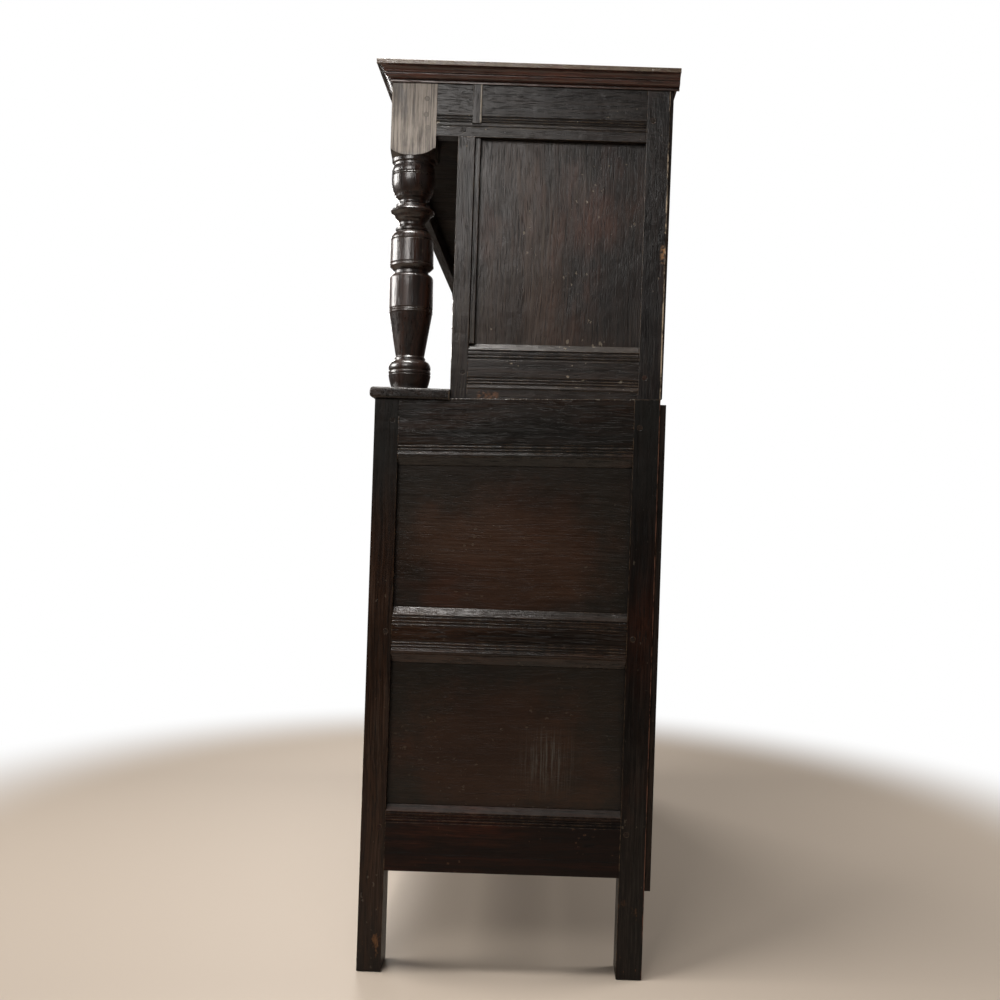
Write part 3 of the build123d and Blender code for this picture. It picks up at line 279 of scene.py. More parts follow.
# Finishes of the cupboard's parts. Colours are linear; wear, film, warmth and gloss run from 0 to 1.

frameFinish = {
    "dark": (0.0055, 0.0026, 0.0013),
    "brown": (0.026, 0.0105, 0.0044),
    "red": (0.055, 0.0135, 0.0045),
    "pore": (0.001, 0.0006, 0.0004),
    "dust": (0.13, 0.115, 0.095),
    "worn": (0.22, 0.14, 0.08),
    "hollowShade": (0.001, 0.0007, 0.0005),
    "grain": 0.9,
    "figure": 0.9,
    "warmth": 0.7,
    "speckle": 0.22,
    "film": 0.14,
    "gloss": 0.68,
    "wear": 0.5,
    "wornShare": 0.55,
    "shelfDust": 0.12,
    "edgeWidth": 0.002,
    "specular": 0.18,
    "coat": 0.14,
    "coatRoughness": 0.24,
    "bump": 0.7,
    "waves": 0.5,
    "offset": (0, 0, 0),
    "tonePerBoard": 0.0,
}
sideRailFinish = {**frameFinish, "gloss": 0.9, "coat": 0.35, "coatRoughness": 0.14, "offset": (0.4, 0.2, 0.1)}
upperFinish = {
    **frameFinish, "brown": (0.02, 0.0115, 0.0075), "film": 0.5, "speckle": 0.8, "warmth": 0.15,
    "specular": 0.36, "coat": 0.22, "bump": 0.85, "waves": 0.45, "shelfDust": 0.25,
}
friezeFinish = {**upperFinish, "film": 0.42, "speckle": 1.0, "offset": (0.4, 0.2, 0.1)}
ledgeFinish = {
    **frameFinish, "gloss": 0.9, "coat": 0.5, "coatRoughness": 0.16, "worn": (0.42, 0.32, 0.22), "wear": 1.0,
    "wornShare": 0.85, "edgeWidth": 0.003, "film": 0.25, "offset": (0.2, 0.5, 0.7),
}
backPostFinish = {
    **frameFinish, "dark": (0.0025, 0.0012, 0.0008), "brown": (0.009, 0.004, 0.0022),
    "red": (0.03, 0.008, 0.003), "wear": 0.6, "coat": 0.08,
}
upperPostFinish = {**backPostFinish, "film": 0.3, "specular": 0.34, "coat": 0.2, "speckle": 0.8}
panelFinish = {
    **frameFinish, "brown": (0.037, 0.0175, 0.0085), "red": (0.07, 0.021, 0.008), "figure": 0.3, "grain": 0.6,
    "warmth": 0.9, "speckle": 0.25, "gloss": 0.6, "wear": 0.2, "specular": 0.24,
}
upperPanelFinish = {
    **panelFinish, "warmth": 0.65, "film": 0.45, "speckle": 0.6, "specular": 0.36, "coat": 0.22, "bump": 0.6,
    "waves": 0.4, "grain": 0.8,
}
turnedFinish = {
    **frameFinish, "dark": (0.008, 0.0035, 0.002), "brown": (0.036, 0.0125, 0.006),
    "red": (0.06, 0.016, 0.006), "gloss": 0.8, "coat": 0.6, "coatRoughness": 0.08, "wear": 0.3,
    "speckle": 0.1, "edgeWidth": 0.0012, "bump": 0.35, "waves": 0.15, "film": 0.05, "specular": 0.5,
    "shelfDust": 0.1,
}
corniceFinish = {
    **frameFinish, "dark": (0.012, 0.004, 0.0022), "brown": (0.055, 0.0155, 0.008),
    "red": (0.085, 0.02, 0.0075), "gloss": 0.75, "coat": 0.6, "coatRoughness": 0.16, "wear": 0.75,
    "wornShare": 0.75, "edgeWidth": 0.0014, "speckle": 0.1, "film": 0.08, "specular": 0.5,
}
innerFinish = {
    **frameFinish, "dark": (0.02, 0.0125, 0.008), "brown": (0.075, 0.047, 0.03),
    "red": (0.085, 0.045, 0.024), "gloss": 0.1, "coat": 0.0, "wear": 0.3, "speckle": 0.2,
    "hollowShade": (0.008, 0.006, 0.0045), "tonePerBoard": 0.5,
}
backBoardFinish = {
    **innerFinish, "dark": (0.005, 0.003, 0.002), "brown": (0.022, 0.013, 0.0085),
    "red": (0.03, 0.014, 0.0075), "specular": 0.2,
}
soffitFinish = {
    **innerFinish, "dark": (0.008, 0.0055, 0.004), "brown": (0.03, 0.02, 0.014), "red": (0.05, 0.02, 0.01),
}
pegFinish = {
    **frameFinish, "brown": (0.03, 0.02, 0.014), "worn": (0.0015, 0.0011, 0.0009), "wornShare": 1.0,
    "wear": 1.0, "edgeWidth": 0.0011, "speckle": 0.0,
}

# Marks of use, and the painted sheen and painted shade among them, each at its own place on the cupboard
# (metres) and in its own colour

# The pillar's block: its pale grey is partly pale worn wood and partly a painted sheen, full on the outer
# side faces, weaker on the front
blockPaleAndSheen = {
    "pale": (0.4, 0.35, 0.3), "streak": (0.115, 0.097, 0.082), "peg": (0.22, 0.1925, 0.165),
    "bottom": 1.478, "top": 1.497, "back": -0.155, "share": 0.9, "frontShare": 0.4,
}
crackMark = {
    "front": 0.219, "back": 0.213, "waver": 0.004, "width": 0.0013, "ends": (-0.2, 0.21),
    "colour": (0.0008, 0.0006, 0.0005),
}
scratchMark = {
    "y": (0.045, 0.115), "z": (0.35, 0.43), "soft": 0.045, "colour": (0.1, 0.094, 0.08), "share": 0.85,
}
figureMark = {"z": (1.4, 1.56), "colour": (0.09, 0.08, 0.066), "share": 0.22}
patchEdge = 0.004
postPatch = {"y": (0.259, 0.268), "z": (1.305, 1.335), "colour": (0.3, 0.15, 0.055)}
railPatch = {"y": (-0.066, -0.03), "z": (1.045, 1.06), "colour": (0.14, 0.06, 0.025)}
lowRailTone = {"z": (0.45, 0.35), "tint": (0.95, 0.56, 0.38), "rough": 0.5}
upperRearEdge = {"y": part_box("upper_back_post_right")[1][1], "width": 0.003, "colour": (0.5, 0.39, 0.27)}
baseRearEdge = {"y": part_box("base_back_post_right")[1][1], "width": 0.0018, "colour": (0.17, 0.075, 0.05)}
footPatch = {"top": 0.2, "colour": (0.16, 0.07, 0.025)}
seamMark = {"front": (-0.117, 1.045), "back": (0.267, 1.0555), "width": 0.0022, "colour": (0.3, 0.27, 0.22)}
stripMark = {"y": (-0.079, -0.07), "bottom": 1.545, "colour": (0.26, 0.22, 0.17)}
filletMark = {"bottom": 1.6422, "colour": (0.1, 0.07, 0.038)}
# Base side panels: painted shade darkens them towards their edges, and a painted pool of warm light lifts
# their centres
panelShadeAndLight = {
    "y": -0.01, "centres": (0.75, 0.395), "reach": (0.21, 0.16), "centre": (0.052, 0.02, 0.009),
    "edge": (0.011, 0.0095, 0.0065),
}
coolTone = {"z": (0.72, 0.98), "colour": (0.0095, 0.009, 0.0078), "share": 0.85}
corniceMitre = 0.464


# A mark changes the colour, roughness, coat or height in look, and turned has the grain upright

def paintOn(tree, look, share, colour):
    look["colour"] = blendColour(tree, share, look["colour"], rgba(colour))


def localMask(tree, place, y, z, soft):
    across = within(tree, axes(tree, place)["Y"], *y, soft)
    return product(tree, across, within(tree, axes(tree, place)["Z"], *z, soft))


# Painted sheen over pale worn wood: the block's faces are painted pale grey and their coat is taken away
def paleSheenBlock(tree, place, turned, look):
    facing = axes(tree, addNode(tree, "ShaderNodeNewGeometry").outputs["True Normal"])
    outer = remap(tree, maths(tree, "ABSOLUTE", facing["X"]), 0.9985, 0.9999)
    front = remap(tree, maths(tree, "ABSOLUTE", facing["Y"]), 0.9985, 0.9999)
    square = maths(tree, "MULTIPLY_ADD", front, blockPaleAndSheen["frontShare"], outer)
    upper = remap(tree, axes(tree, place)["Z"], blockPaleAndSheen["bottom"], blockPaleAndSheen["top"])
    fibre = drawnNoise(tree, turned, 0.03, 300.0, 5.0, 0.75)
    cloud = drawnNoise(tree, turned, 0.3, 34.0, 4.0, 0.6)
    mixed = maths(tree, "MULTIPLY_ADD", maths(tree, "SUBTRACT", cloud, 0.5), 0.6, fibre)
    streaked = remap(tree, mixed, 0.36, 0.62)
    pale = blendColour(tree, streaked, rgba(blockPaleAndSheen["streak"]), rgba(blockPaleAndSheen["pale"]))
    share = product(tree, upper, square, remap(tree, cloud, 0.3, 0.5, 0.7, 1.0), blockPaleAndSheen["share"])
    polish = turnedFinish["coat"]
    look["colour"] = blendColour(tree, share, look["colour"], pale)
    look["rough"] = maths(tree, "MULTIPLY_ADD", share, 0.3, look["rough"])
    look["coat"] = maths(tree, "MULTIPLY_ADD", share, -polish, polish, clamp=True)
    look["height"] = maths(tree, "MULTIPLY_ADD", product(tree, share, fibre), 2.0, look["height"])


# Painted sheen: the peg ends in the block get the same pale grey
def paleSheenPegs(tree, place, turned, look):
    inBlock = remap(tree, axes(tree, place)["Z"], blockPaleAndSheen["top"], blockPaleAndSheen["top"] + 0.002)
    inFront = remap(tree, axes(tree, place)["Y"], blockPaleAndSheen["back"], blockPaleAndSheen["back"] - 0.002)
    share = product(tree, inBlock, inFront, blockPaleAndSheen["share"])
    paintOn(tree, look, share, blockPaleAndSheen["peg"])


def crackRail(tree, place, turned, look):
    spot = axes(tree, place)
    ends = crackMark["ends"]
    middle = remap(tree, spot["Y"], *ends, crackMark["front"], crackMark["back"], smooth=False)
    waver = maths(tree, "SUBTRACT", noise(tree, place, 30.0, 5.0, 0.7), 0.5)
    middle = maths(tree, "MULTIPLY_ADD", waver, crackMark["waver"], middle)
    away = maths(tree, "ABSOLUTE", maths(tree, "SUBTRACT", spot["Z"], middle))
    gape = remap(tree, noise(tree, place, 12.0, 3.0, 0.6), 0.35, 0.65, 0.15, 1.0)
    crack = remap(tree, away, product(tree, gape, crackMark["width"]), 0.0)
    crack = product(tree, crack, within(tree, spot["Y"], *ends, 0.01))
    paintOn(tree, look, crack, crackMark["colour"])
    look["rough"] = maths(tree, "MAXIMUM", look["rough"], crack)
    look["height"] = maths(tree, "MULTIPLY_ADD", crack, -3.0, look["height"])


def scuffSeam(tree, place, turned, look):
    spot = axes(tree, place)
    (frontY, frontZ), (backY, backZ) = seamMark["front"], seamMark["back"]
    seam = remap(tree, spot["Y"], frontY, backY, frontZ, backZ, smooth=False)
    below = maths(tree, "SUBTRACT", seam, spot["Z"])
    near = remap(tree, below, seamMark["width"], 0.0)
    dots = remap(tree, noise(tree, place, 150.0, 3.0, 0.7), 0.52, 0.62)
    share = product(tree, near, dots)
    paintOn(tree, look, share, seamMark["colour"])


# Painted shade at the panel edges and painted light at the panel centres
def shadeEdgesLightCentre(tree, place, turned, look):
    spot = axes(tree, place)
    reachAcross, reachUp = panelShadeAndLight["reach"]
    heights = [maths(tree, "ABSOLUTE", maths(tree, "SUBTRACT", spot["Z"], z)) for z in panelShadeAndLight["centres"]]
    across = maths(tree, "DIVIDE", maths(tree, "SUBTRACT", spot["Y"], panelShadeAndLight["y"]), reachAcross)
    up = maths(tree, "DIVIDE", maths(tree, "MINIMUM", *heights), reachUp)
    spread = maths(tree, "SQRT", maths(tree, "MULTIPLY_ADD", across, across, product(tree, up, up)))
    cloud = maths(tree, "SUBTRACT", noise(tree, place, 14.0, 5.0, 0.65), 0.5)
    edge = remap(tree, maths(tree, "MULTIPLY_ADD", cloud, 1.3, spread), 0.45, 1.15)
    paintOn(tree, look, product(tree, edge, 0.7), panelShadeAndLight["edge"])
    centre = maths(tree, "MULTIPLY_ADD", edge, -0.35, 0.35)
    paintOn(tree, look, centre, panelShadeAndLight["centre"])


def coolTop(tree, place, turned, look):
    upper = remap(tree, axes(tree, place)["Z"], *coolTone["z"])
    cloud = remap(tree, drawnNoise(tree, turned, 0.4, 12.0, 4.0, 0.65), 0.35, 0.6, 0.45, 1.0)
    share = product(tree, upper, cloud, coolTone["share"])
    paintOn(tree, look, share, coolTone["colour"])


def scratchPanel(tree, place, turned, look):
    mask = localMask(tree, place, scratchMark["y"], scratchMark["z"], scratchMark["soft"])
    scored = drawnNoise(tree, place, 0.03, 330.0, 4.0, 0.7)
    cloudy = remap(tree, drawnNoise(tree, place, 0.4, 30.0, 3.0, 0.7), 0.3, 0.6, 0.2, 1.0)
    lines = product(tree, remap(tree, scored, 0.46, 0.66), cloudy, mask, scratchMark["share"])
    paintOn(tree, look, lines, scratchMark["colour"])
    look["rough"] = maths(tree, "MULTIPLY_ADD", lines, 0.25, look["rough"], clamp=True)


def patchOn(mark):
    def step(tree, place, turned, look):
        ragged = remap(tree, noise(tree, place, 90.0, 4.0, 0.75), 0.42, 0.56)
        mask = product(tree, localMask(tree, place, mark["y"], mark["z"], patchEdge), ragged)
        paintOn(tree, look, mask, mark["colour"])
    return step


def dullLowRail(tree, place, turned, look):
    low = remap(tree, axes(tree, place)["Z"], *lowRailTone["z"])
    dull = maths(tree, "MULTIPLY", low, lowRailTone["rough"])
    polish = sideRailFinish["coat"]
    look["colour"] = blendColour(tree, low, look["colour"], rgba(lowRailTone["tint"]), "MULTIPLY")
    look["rough"] = maths(tree, "MAXIMUM", look["rough"], dull)
    look["coat"] = maths(tree, "MULTIPLY_ADD", low, -polish, polish, clamp=True)


def wearRearEdge(mark):
    def step(tree, place, turned, look):
        start, full = mark["y"] - mark["width"], mark["y"] - mark["width"] / 2
        near = remap(tree, axes(tree, place)["Y"], start, full)
        ragged = remap(tree, drawnNoise(tree, place, 0.3, 60.0, 5.0, 0.75), 0.42, 0.56)
        paintOn(tree, look, product(tree, near, ragged), mark["colour"])
    return step


def wearFeet(tree, place, turned, look):
    low = remap(tree, axes(tree, place)["Z"], footPatch["top"], 0.0)
    ragged = remap(tree, drawnNoise(tree, place, 0.5, 40.0, 5.0, 0.75), 0.6, 0.7)
    share = product(tree, low, ragged)
    paintOn(tree, look, share, footPatch["colour"])


def waveFigure(tree, place, turned, look):
    upper = remap(tree, axes(tree, place)["Z"], *figureMark["z"])
    inputs = {"Vector": stretch(tree, place, (1, 1, 0.7)), "Scale": 45.0, "Distortion": 9.0, "Detail": 3.0}
    bands = addNode(tree, "ShaderNodeTexWave", inputs, wave_type="RINGS").outputs["Fac"]
    patchy = remap(tree, noise(tree, place, 40.0, 4.0, 0.7), 0.4, 0.65)
    share = product(tree, upper, remap(tree, bands, 0.55, 0.95), patchy, figureMark["share"])
    paintOn(tree, look, share, figureMark["colour"])


def wearStrip(tree, place, turned, look):
    edge = within(tree, axes(tree, place)["Y"], *stripMark["y"], 0.001)
    upper = remap(tree, axes(tree, place)["Z"], stripMark["bottom"], stripMark["bottom"] + 0.01)
    ragged = remap(tree, drawnNoise(tree, place, 0.4, 70.0, 4.0, 0.75), 0.3, 0.5)
    share = product(tree, edge, upper, ragged)
    paintOn(tree, look, share, stripMark["colour"])


def wearFillet(tree, place, turned, look):
    upper = remap(tree, axes(tree, place)["Z"], filletMark["bottom"], filletMark["bottom"] + 0.0008)
    ragged = remap(tree, noise(tree, place, 45.0, 5.0, 0.75), 0.35, 0.6, 0.1, 1.0)
    share = product(tree, upper, ragged)
    paintOn(tree, look, share, filletMark["colour"])
    look["rough"] = maths(tree, "MULTIPLY_ADD", share, 0.25, look["rough"], clamp=True)


# Where a node holds pieces that run in two directions, the share of it that runs in the second one

def cornerShare(tree, place):
    spot = axes(tree, place)
    outward = maths(tree, "ADD", maths(tree, "ABSOLUTE", spot["X"]), spot["Y"])
    return maths(tree, "LESS_THAN", outward, corniceMitre)


def betweenStiles(left, right):
    def share(tree, place):
        middle, half = (left + right) / 2, (right - left) / 2
        away = maths(tree, "ABSOLUTE", maths(tree, "SUBTRACT", axes(tree, place)["X"], middle))
        return maths(tree, "LESS_THAN", away, half)
    return share


def alongGrain(tree, place, grain):
    if grain == "z":
        return place
    spot = axes(tree, place)
    order = {"x": (spot["Y"], spot["Z"], spot["X"]), "y": (spot["Z"], spot["X"], spot["Y"])}[grain]
    return addNode(tree, "ShaderNodeCombineXYZ", {0: order[0], 1: order[1], 2: order[2]}).outputs[0]


boardShift = (3.1, 1.7, 2.3)
hollowShadeShare = 0.75


def makeOak(name, finish, grain, marks=(), otherGrain=None, otherShare=None):
    material = bpy.data.materials.new(name)
    material.use_nodes = True
    tree = material.node_tree
    shader = tree.nodes["Principled BSDF"]
    place = addNode(tree, "ShaderNodeTexCoord").outputs["Object"]
    turned = alongGrain(tree, place, grain)
    if otherGrain:
        other = alongGrain(tree, place, otherGrain)
        turned = blendPlace(tree, otherShare(tree, place), turned, other)
    shifted = stretch(tree, turned, (1, 1, 1), finish["offset"])
    if finish["tonePerBoard"]:
        island = addNode(tree, "ShaderNodeNewGeometry").outputs["Random Per Island"]
        shifted = nudge(tree, shifted, island, boardShift)
    colours = {label.title(): rgba(finish[label]) for label in ("dark", "brown", "red", "pore", "dust")}
    amounts = {
        label.title(): finish[label] for label in ("grain", "figure", "warmth", "speckle", "film", "gloss")
    }
    wood = useGroup(tree, oakGroup, {"Place": shifted, **colours, **amounts})
    wear = useGroup(tree, wearGroup, {"Place": place, "Width": finish["edgeWidth"], "Amount": finish["wear"]})
    look = {"colour": wood["Colour"], "rough": wood["Roughness"], "height": wood["Relief"]}
    if finish["tonePerBoard"]:
        low, high = 1.0 - finish["tonePerBoard"], 1.0 + finish["tonePerBoard"]
        tone = remap(tree, island, 0.0, 1.0, low, high, smooth=False)
        look["colour"] = blendColour(tree, 1.0, look["colour"], tone, "MULTIPLY")
    for mark in marks:
        mark(tree, place, turned, look)
    paintOn(tree, look, product(tree, wear["Shelf"], finish["shelfDust"]), finish["dust"])
    # Painted shade: the near-black hollow colour is blended in where ambient occlusion finds a corner or
    # groove
    paintOn(tree, look, product(tree, wear["Hollow Shade"], hollowShadeShare), finish["hollowShade"])
    paintOn(tree, look, product(tree, wear["Wear"], finish["wornShare"]), finish["worn"])
    rough = maths(tree, "MULTIPLY_ADD", wear["Hollow Shade"], 0.2, look["rough"], clamp=True)
    tree.links.new(look["colour"], shader.inputs["Base Color"])
    tree.links.new(rough, shader.inputs["Roughness"])
    shader.inputs["Specular IOR Level"].default_value = finish["specular"]
    if "coat" in look:
        tree.links.new(look["coat"], shader.inputs["Coat Weight"])
    else:
        shader.inputs["Coat Weight"].default_value = finish["coat"]
    shader.inputs["Coat Roughness"].default_value = finish["coatRoughness"]
    hand = {"Place": place, "Depth": finish["waves"], "Normal": wear["Normal"]}
    waved = useGroup(tree, handWorkGroup, hand)
    bump = addNode(tree, "ShaderNodeBump", {
        "Strength": finish["bump"], "Distance": 0.0006, "Height": look["height"], "Normal": waved["Normal"],
    })
    tree.links.new(bump.outputs["Normal"], shader.inputs["Normal"])
    tree.links.new(bump.outputs["Normal"], shader.inputs["Coat Normal"])
    return material


muntinGap = (-0.19, 0.19)
frameUpright = makeOak("oakFrameUpright", frameFinish, "z", [wearFeet, coolTop])
frameAlongX = makeOak("oakFrameFrontRails", {**frameFinish, "offset": (0.1, 0.7, 0.3)}, "x")
sideRailMarks = [coolTop, dullLowRail, crackRail, scuffSeam]
baseSideRails = makeOak("oakBaseSideRails", sideRailFinish, "y", sideRailMarks)
basePostMarks = [wearFeet, coolTop, wearRearEdge(baseRearEdge)]
baseBackPosts = makeOak("oakBaseBackPosts", backPostFinish, "z", basePostMarks)
ledgeOak = makeOak("oakLedge", ledgeFinish, "x")
baseMuntins = makeOak("oakMuntins", frameFinish, "z", [], "x", betweenStiles(*muntinGap))
upperStiles = makeOak("oakUpperStiles", upperFinish, "z")
upperSideRails = makeOak("oakUpperSideRails", friezeFinish, "y", [patchOn(railPatch)])
upperPostMarks = [waveFigure, patchOn(postPatch), wearRearEdge(upperRearEdge)]
upperBackPosts = makeOak("oakUpperBackPosts", upperPostFinish, "z", upperPostMarks)
friezeAlongX = makeOak("oakFriezeFront", friezeFinish, "x")
stripOak = makeOak("oakPlantedStrips", upperFinish, "z", [wearStrip])
panelUpright = makeOak("oakPanelUpright", panelFinish, "z")
upperPanel = makeOak("oakUpperSidePanel", upperPanelFinish, "z")
panelLevel = makeOak("oakBaseSidePanels", panelFinish, "y", [shadeEdgesLightCentre, scratchPanel])
pillarOak = makeOak("oakTurnedPillar", turnedFinish, "z", [paleSheenBlock])
knobOak = makeOak("oakTurnedKnob", {**turnedFinish, "offset": (0.3, 0.1, 0.2)}, "y")
corniceOak = makeOak("oakCornice", corniceFinish, "y", [wearFillet], "x", cornerShare)
backBoards = makeOak("oakBackBoards", backBoardFinish, "z")
innerAlongX = makeOak("oakInnerAlongX", innerFinish, "x")
innerAlongY = makeOak("oakInnerAlongY", innerFinish, "y")
soffitOak = makeOak("oakSoffit", soffitFinish, "y")
pegOak = makeOak("oakPegEnds", pegFinish, "x", [paleSheenPegs])
print("oak finishes made")

finishOfNode = {
    "base_front_post": frameUpright, "base_back_post": baseBackPosts, "base_side_rails": baseSideRails,
    "base_side_panels": panelLevel, "base_front_rails": frameAlongX, "base_front_muntins": baseMuntins,
    "base_centre_panels": panelUpright, "base_back_rails": innerAlongX, "base_back_boards": backBoards,
    "base_floor_boards": innerAlongX, "drawer_runners": innerAlongY, "ledge_board": ledgeOak,
    "pillar": pillarOak, "upper_back_post": upperBackPosts, "upper_end_stile": upperStiles,
    "upper_side_rails": upperSideRails, "upper_side_panel": upperPanel, "frieze_front_rail": friezeAlongX,
    "planted_strips": stripOak, "upper_front_rails": frameAlongX, "upper_front_muntins": frameUpright,
    "upper_centre_panel": panelUpright, "canopy_boards": soffitOak, "upper_floor_boards": innerAlongX,
    "upper_back_boards": backBoards, "upper_back_rails": innerAlongX, "cornice_mouldings": corniceOak,
    "top_boards": innerAlongX, "oak_pegs": pegOak,
}
doorStile = 0.056


def doorOak(name):
    low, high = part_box(name)
    share = betweenStiles(low[0] + doorStile, high[0] - doorStile)
    return makeOak(f"oak {name}", frameFinish, "z", [], "x", share)


def finishFor(name):
    kind = name.removesuffix("_right").removesuffix("_left")
    if kind in finishOfNode:
        return finishOfNode[kind]
    if name.endswith("knob"):
        return knobOak
    if name.startswith("drawer"):
        return frameAlongX if name.endswith("front") else innerAlongY
    return doorOak(name) if name.endswith("frame") else panelUpright


for name, node in nodes.items():
    node.data.materials.clear()
    node.data.materials.append(finishFor(name))
print("finishes on the frame")


# Nails: hand-made rose heads that hold the back boards to their rails

nailSetup = {
    "headRadius": 0.0048,
    "headHeight": 0.0022,
    "edgeInset": 0.022,
    "baseRails": (0.228, 0.84, 1.016),
    "baseBoards": 7,
    "upperRails": (1.087, 1.604),
    "upperBoards": 6,
    "upperTaper": 0.0035,
    "hammering": 0.0016,
    "iron": (0.018, 0.013, 0.01),
    "rust": (0.09, 0.035, 0.015),
    "seed": 7,
}


def makeIron():
    material = bpy.data.materials.new("forgedIron")
    material.use_nodes = True
    tree = material.node_tree
    shader = tree.nodes["Principled BSDF"]
    place = addNode(tree, "ShaderNodeTexCoord").outputs["Object"]
    rusty = remap(tree, noise(tree, place, 160.0, 4.0, 0.7), 0.42, 0.6)
    colour = blendColour(tree, rusty, rgba(nailSetup["iron"]), rgba(nailSetup["rust"]))
    tree.links.new(colour, shader.inputs["Base Color"])
    tree.links.new(remap(tree, rusty, 0.0, 1.0, 0.45, 0.85), shader.inputs["Roughness"])
    tree.links.new(remap(tree, rusty, 0.0, 1.0, 0.8, 0.1), shader.inputs["Metallic"])
    pits = noise(tree, place, 700.0, 3.0, 0.6)
    bump = addNode(tree, "ShaderNodeBump", {"Strength": 0.5, "Distance": 0.0004, "Height": pits})
    tree.links.new(bump.outputs["Normal"], shader.inputs["Normal"])
    return material


def nailPlaces(name, boards, heights, taper):
    low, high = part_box(name)
    width = (high[0] - low[0]) / boards
    places = []
    for board in range(boards):
        left = low[0] + board * width
        for x in (left + nailSetup["edgeInset"], left + width - nailSetup["edgeInset"]):
            for height in heights:
                thinner = taper * (high[2] - height) / (high[2] - low[2])
                places.append((x, high[1] - thinner, height))
    return places


def makeRoseHeadGroup(kinds):
    group = bpy.data.node_groups.new("Rose Heads", "GeometryNodeTree")
    group.interface.new_socket(name="Places", in_out="INPUT", socket_type="NodeSocketGeometry")
    group.interface.new_socket(name="Nails", in_out="OUTPUT", socket_type="NodeSocketGeometry")
    sockets = {
        label: group.interface.new_socket(name=label, in_out="INPUT", socket_type=kind)
        for label, kind in kinds.items()
    }
    given = group.nodes.new("NodeGroupInput").outputs
    leave = group.nodes.new("NodeGroupOutput")
    points = addNode(group, "GeometryNodeMeshToPoints", {"Mesh": given["Places"]}).outputs["Points"]
    head = addNode(group, "GeometryNodeMeshIcoSphere", {"Radius": 1.0, "Subdivisions": 2}).outputs["Mesh"]
    size = {0: given["Head Radius"], 1: given["Head Height"], 2: given["Head Radius"]}
    shape = addNode(group, "ShaderNodeCombineXYZ", size).outputs[0]
    turn = {"Max": (0.0, 6.28, 0.0), "Seed": given["Seed"]}
    angle = addNode(group, "FunctionNodeRandomValue", turn, data_type="FLOAT_VECTOR").outputs["Value"]
    each = {"Points": points, "Instance": head, "Rotation": angle, "Scale": shape}
    heads = addNode(group, "GeometryNodeInstanceOnPoints", each).outputs["Instances"]
    real = addNode(group, "GeometryNodeRealizeInstances", {0: heads}).outputs[0]
    hammered = addNode(group, "ShaderNodeTexNoise", {"Scale": 260.0, "Detail": 1.0}).outputs["Fac"]
    lift = maths(group, "MULTIPLY", maths(group, "SUBTRACT", hammered, 0.5), nailSetup["hammering"])
    offset = addNode(group, "ShaderNodeCombineXYZ", {1: lift}).outputs[0]
    dented = addNode(group, "GeometryNodeSetPosition", {"Geometry": real, "Offset": offset}).outputs[0]
    finished = addNode(group, "GeometryNodeSetMaterial", {"Geometry": dented, "Material": given["Iron"]})
    group.links.new(finished.outputs["Geometry"], leave.inputs["Nails"])
    return group, sockets


def makeNails():
    upper = nailSetup["upperBoards"], nailSetup["upperRails"], nailSetup["upperTaper"]
    places = nailPlaces("base_back_boards", nailSetup["baseBoards"], nailSetup["baseRails"], 0.0)
    places += nailPlaces("upper_back_boards", *upper)
    mesh = bpy.data.meshes.new("nailPlaces")
    mesh.from_pydata(places, [], [])
    holder = bpy.data.objects.new("nailPlaces", mesh)
    scene.collection.objects.link(holder)
    values = {
        "Head Radius": ("NodeSocketFloat", nailSetup["headRadius"]),
        "Head Height": ("NodeSocketFloat", nailSetup["headHeight"]),
        "Seed": ("NodeSocketInt", nailSetup["seed"]),
        "Iron": ("NodeSocketMaterial", makeIron()),
    }
    group, sockets = makeRoseHeadGroup({label: kind for label, (kind, value) in values.items()})
    modifier = holder.modifiers.new("roseHeads", "NODES")
    modifier.node_group = group
    for label, (kind, value) in values.items():
        modifier[sockets[label].identifier] = value
    bpy.context.view_layer.update()
    plain = bpy.data.meshes.new_from_object(holder.evaluated_get(bpy.context.evaluated_depsgraph_get()))
    bpy.data.objects.remove(holder)
    nails = bpy.data.objects.new("boardNails", plain)
    scene.collection.objects.link(nails)
    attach(nails, "case")
    print("nails made:", len(places), "heads,", len(plain.polygons), "faces")


makeNails()


# Stage: a pale floor that fades into a white backdrop, and soft lights

stageSetup = {
    "floorReach": 8,
    "floorColour": (0.6, 0.51, 0.42),
    "fadeStart": 1.25,
    "fadeEnd": 1.95,
    "worldFill": 0.08,
}
lightSetup = {
    "overhead": {
        "place": (0.98, -0.4, 2.75), "aim": (0.8, -0.1, 0.9), "size": (0.5, 0.5), "power": 22.0,
        "spread": 150,
    },
    "right": {
        "place": (2.9, -0.8, 2.3), "aim": (0.7, 0.0, 1.4), "size": (1.1, 1.1), "power": 8.0, "spread": 90,
    },
    "front": {
        "place": (0.3, -3.0, 2.1), "aim": (0.1, 0.0, 1.1), "size": (1.6, 1.2), "power": 42.0, "spread": 120,
    },
    "left": {
        "place": (-2.7, -0.9, 2.1), "aim": (-0.7, 0.0, 1.2), "size": (1.1, 1.1), "power": 15.0,
        "spread": 110,
    },
    "back": {
        "place": (-0.3, 2.9, 2.0), "aim": (-0.1, 0.3, 1.0), "size": (1.6, 1.2), "power": 26.0,
        "spread": 120,
    },
}
lightColour = (1.0, 0.97, 0.94)


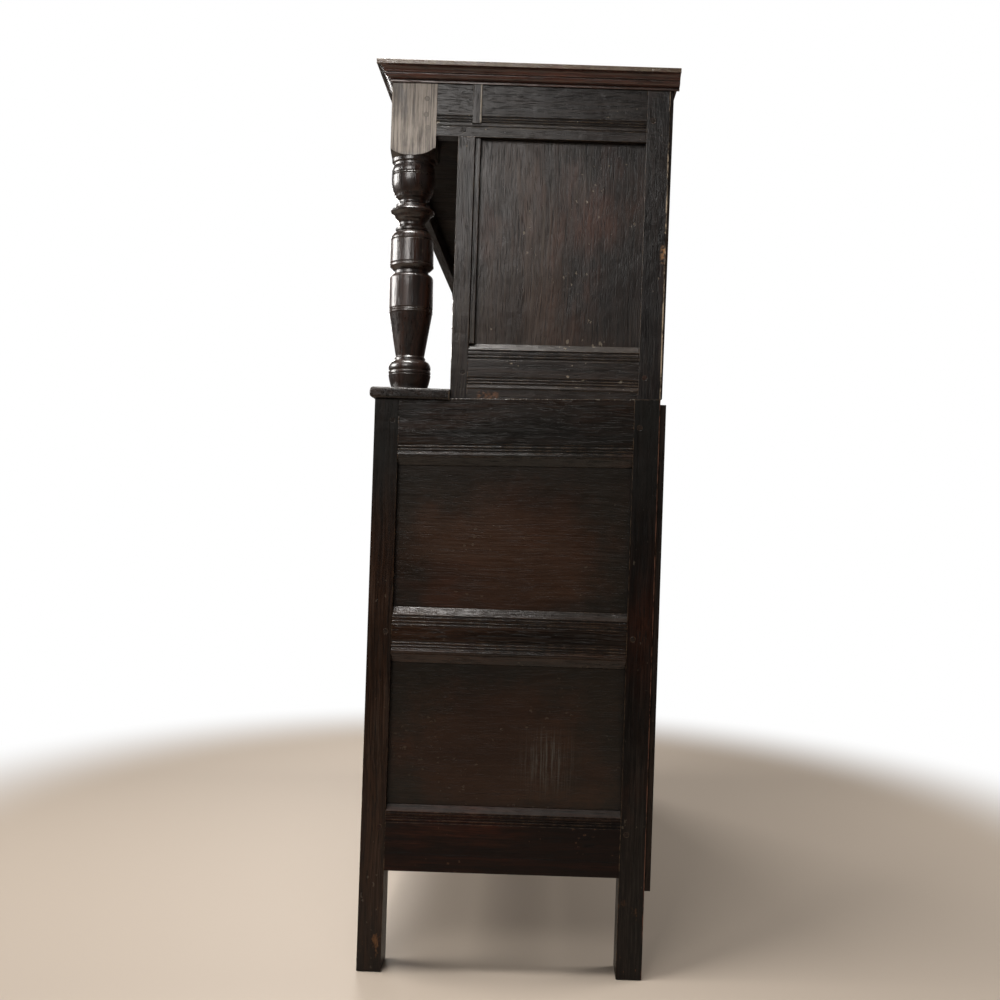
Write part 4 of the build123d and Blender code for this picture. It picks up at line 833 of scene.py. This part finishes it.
def makeFloor():
    reach = stageSetup["floorReach"]
    mesh = bpy.data.meshes.new("studioFloor")
    corners = [(-reach, -reach, 0), (reach, -reach, 0), (reach, reach, 0), (-reach, reach, 0)]
    mesh.from_pydata(corners, [], [(0, 1, 2, 3)])
    floor = bpy.data.objects.new("studioFloor", mesh)
    scene.collection.objects.link(floor)
    material = bpy.data.materials.new("studioFloor")
    material.use_nodes = True
    tree = material.node_tree
    shader = tree.nodes["Principled BSDF"]
    shader.inputs["Base Color"].default_value = rgba(stageSetup["floorColour"])
    shader.inputs["Roughness"].default_value = 0.6
    place = addNode(tree, "ShaderNodeTexCoord").outputs["Object"]
    away = addNode(tree, "ShaderNodeVectorMath", {0: place}, operation="LENGTH").outputs["Value"]
    fade = remap(tree, away, stageSetup["fadeStart"], stageSetup["fadeEnd"])
    glow = addNode(tree, "ShaderNodeEmission", {"Color": (1, 1, 1, 1), "Strength": 1.0}).outputs[0]
    seen = addNode(tree, "ShaderNodeLightPath").outputs["Is Camera Ray"]
    mix = addNode(tree, "ShaderNodeMixShader", {0: product(tree, fade, seen), 1: shader.outputs[0], 2: glow})
    tree.links.new(mix.outputs[0], tree.nodes["Material Output"].inputs["Surface"])
    mesh.materials.append(material)


def makeWorld():
    world = bpy.data.worlds.new("studioWorld")
    world.use_nodes = True
    scene.world = world
    tree = world.node_tree
    background = tree.nodes["Background"]
    background.inputs["Color"].default_value = (1.0, 0.98, 0.96, 1)
    background.inputs["Strength"].default_value = stageSetup["worldFill"]
    white = addNode(tree, "ShaderNodeBackground", {"Color": (1, 1, 1, 1), "Strength": 1.0})
    seen = addNode(tree, "ShaderNodeLightPath").outputs["Is Camera Ray"]
    mix = addNode(tree, "ShaderNodeMixShader", {0: seen, 1: background.outputs[0], 2: white.outputs[0]})
    tree.links.new(mix.outputs[0], tree.nodes["World Output"].inputs["Surface"])


def addLight(name, place, aim, size, power, spread):
    light = bpy.data.lights.new(name, "AREA")
    light.shape = "RECTANGLE"
    light.size, light.size_y = size
    light.energy = power
    light.spread = math.radians(spread)
    light.color = lightColour
    holder = bpy.data.objects.new(name, light)
    holder.location = place
    holder.rotation_mode = "QUATERNION"
    holder.rotation_quaternion = (Vector(aim) - Vector(place)).to_track_quat("-Z", "Y")
    scene.collection.objects.link(holder)


makeFloor()
makeWorld()
for name, setup in lightSetup.items():
    addLight(f"{name}Light", **setup)
print("stage made")

# Camera: square on to the right-hand side, rolled a little

cameraSetup = {
    "place": (2.676, 0.059, 0.8593),
    "rollDegrees": 1.902,
    "lens": 39.0,
    "shift": (-0.043, 0.004),
}
cameraData = bpy.data.cameras.new("sideCamera")
cameraData.lens = cameraSetup["lens"]
cameraData.shift_x, cameraData.shift_y = cameraSetup["shift"]
camera = bpy.data.objects.new("sideCamera", cameraData)
scene.collection.objects.link(camera)
camera.matrix_world = (
    Matrix.Translation(cameraSetup["place"])
    @ Matrix.Rotation(math.radians(90), 4, "Z")
    @ Matrix.Rotation(math.radians(90), 4, "X")
    @ Matrix.Rotation(math.radians(cameraSetup["rollDegrees"]), 4, "Z")
)
scene.camera = camera
scene.view_settings.view_transform = "Standard"
print("camera made")
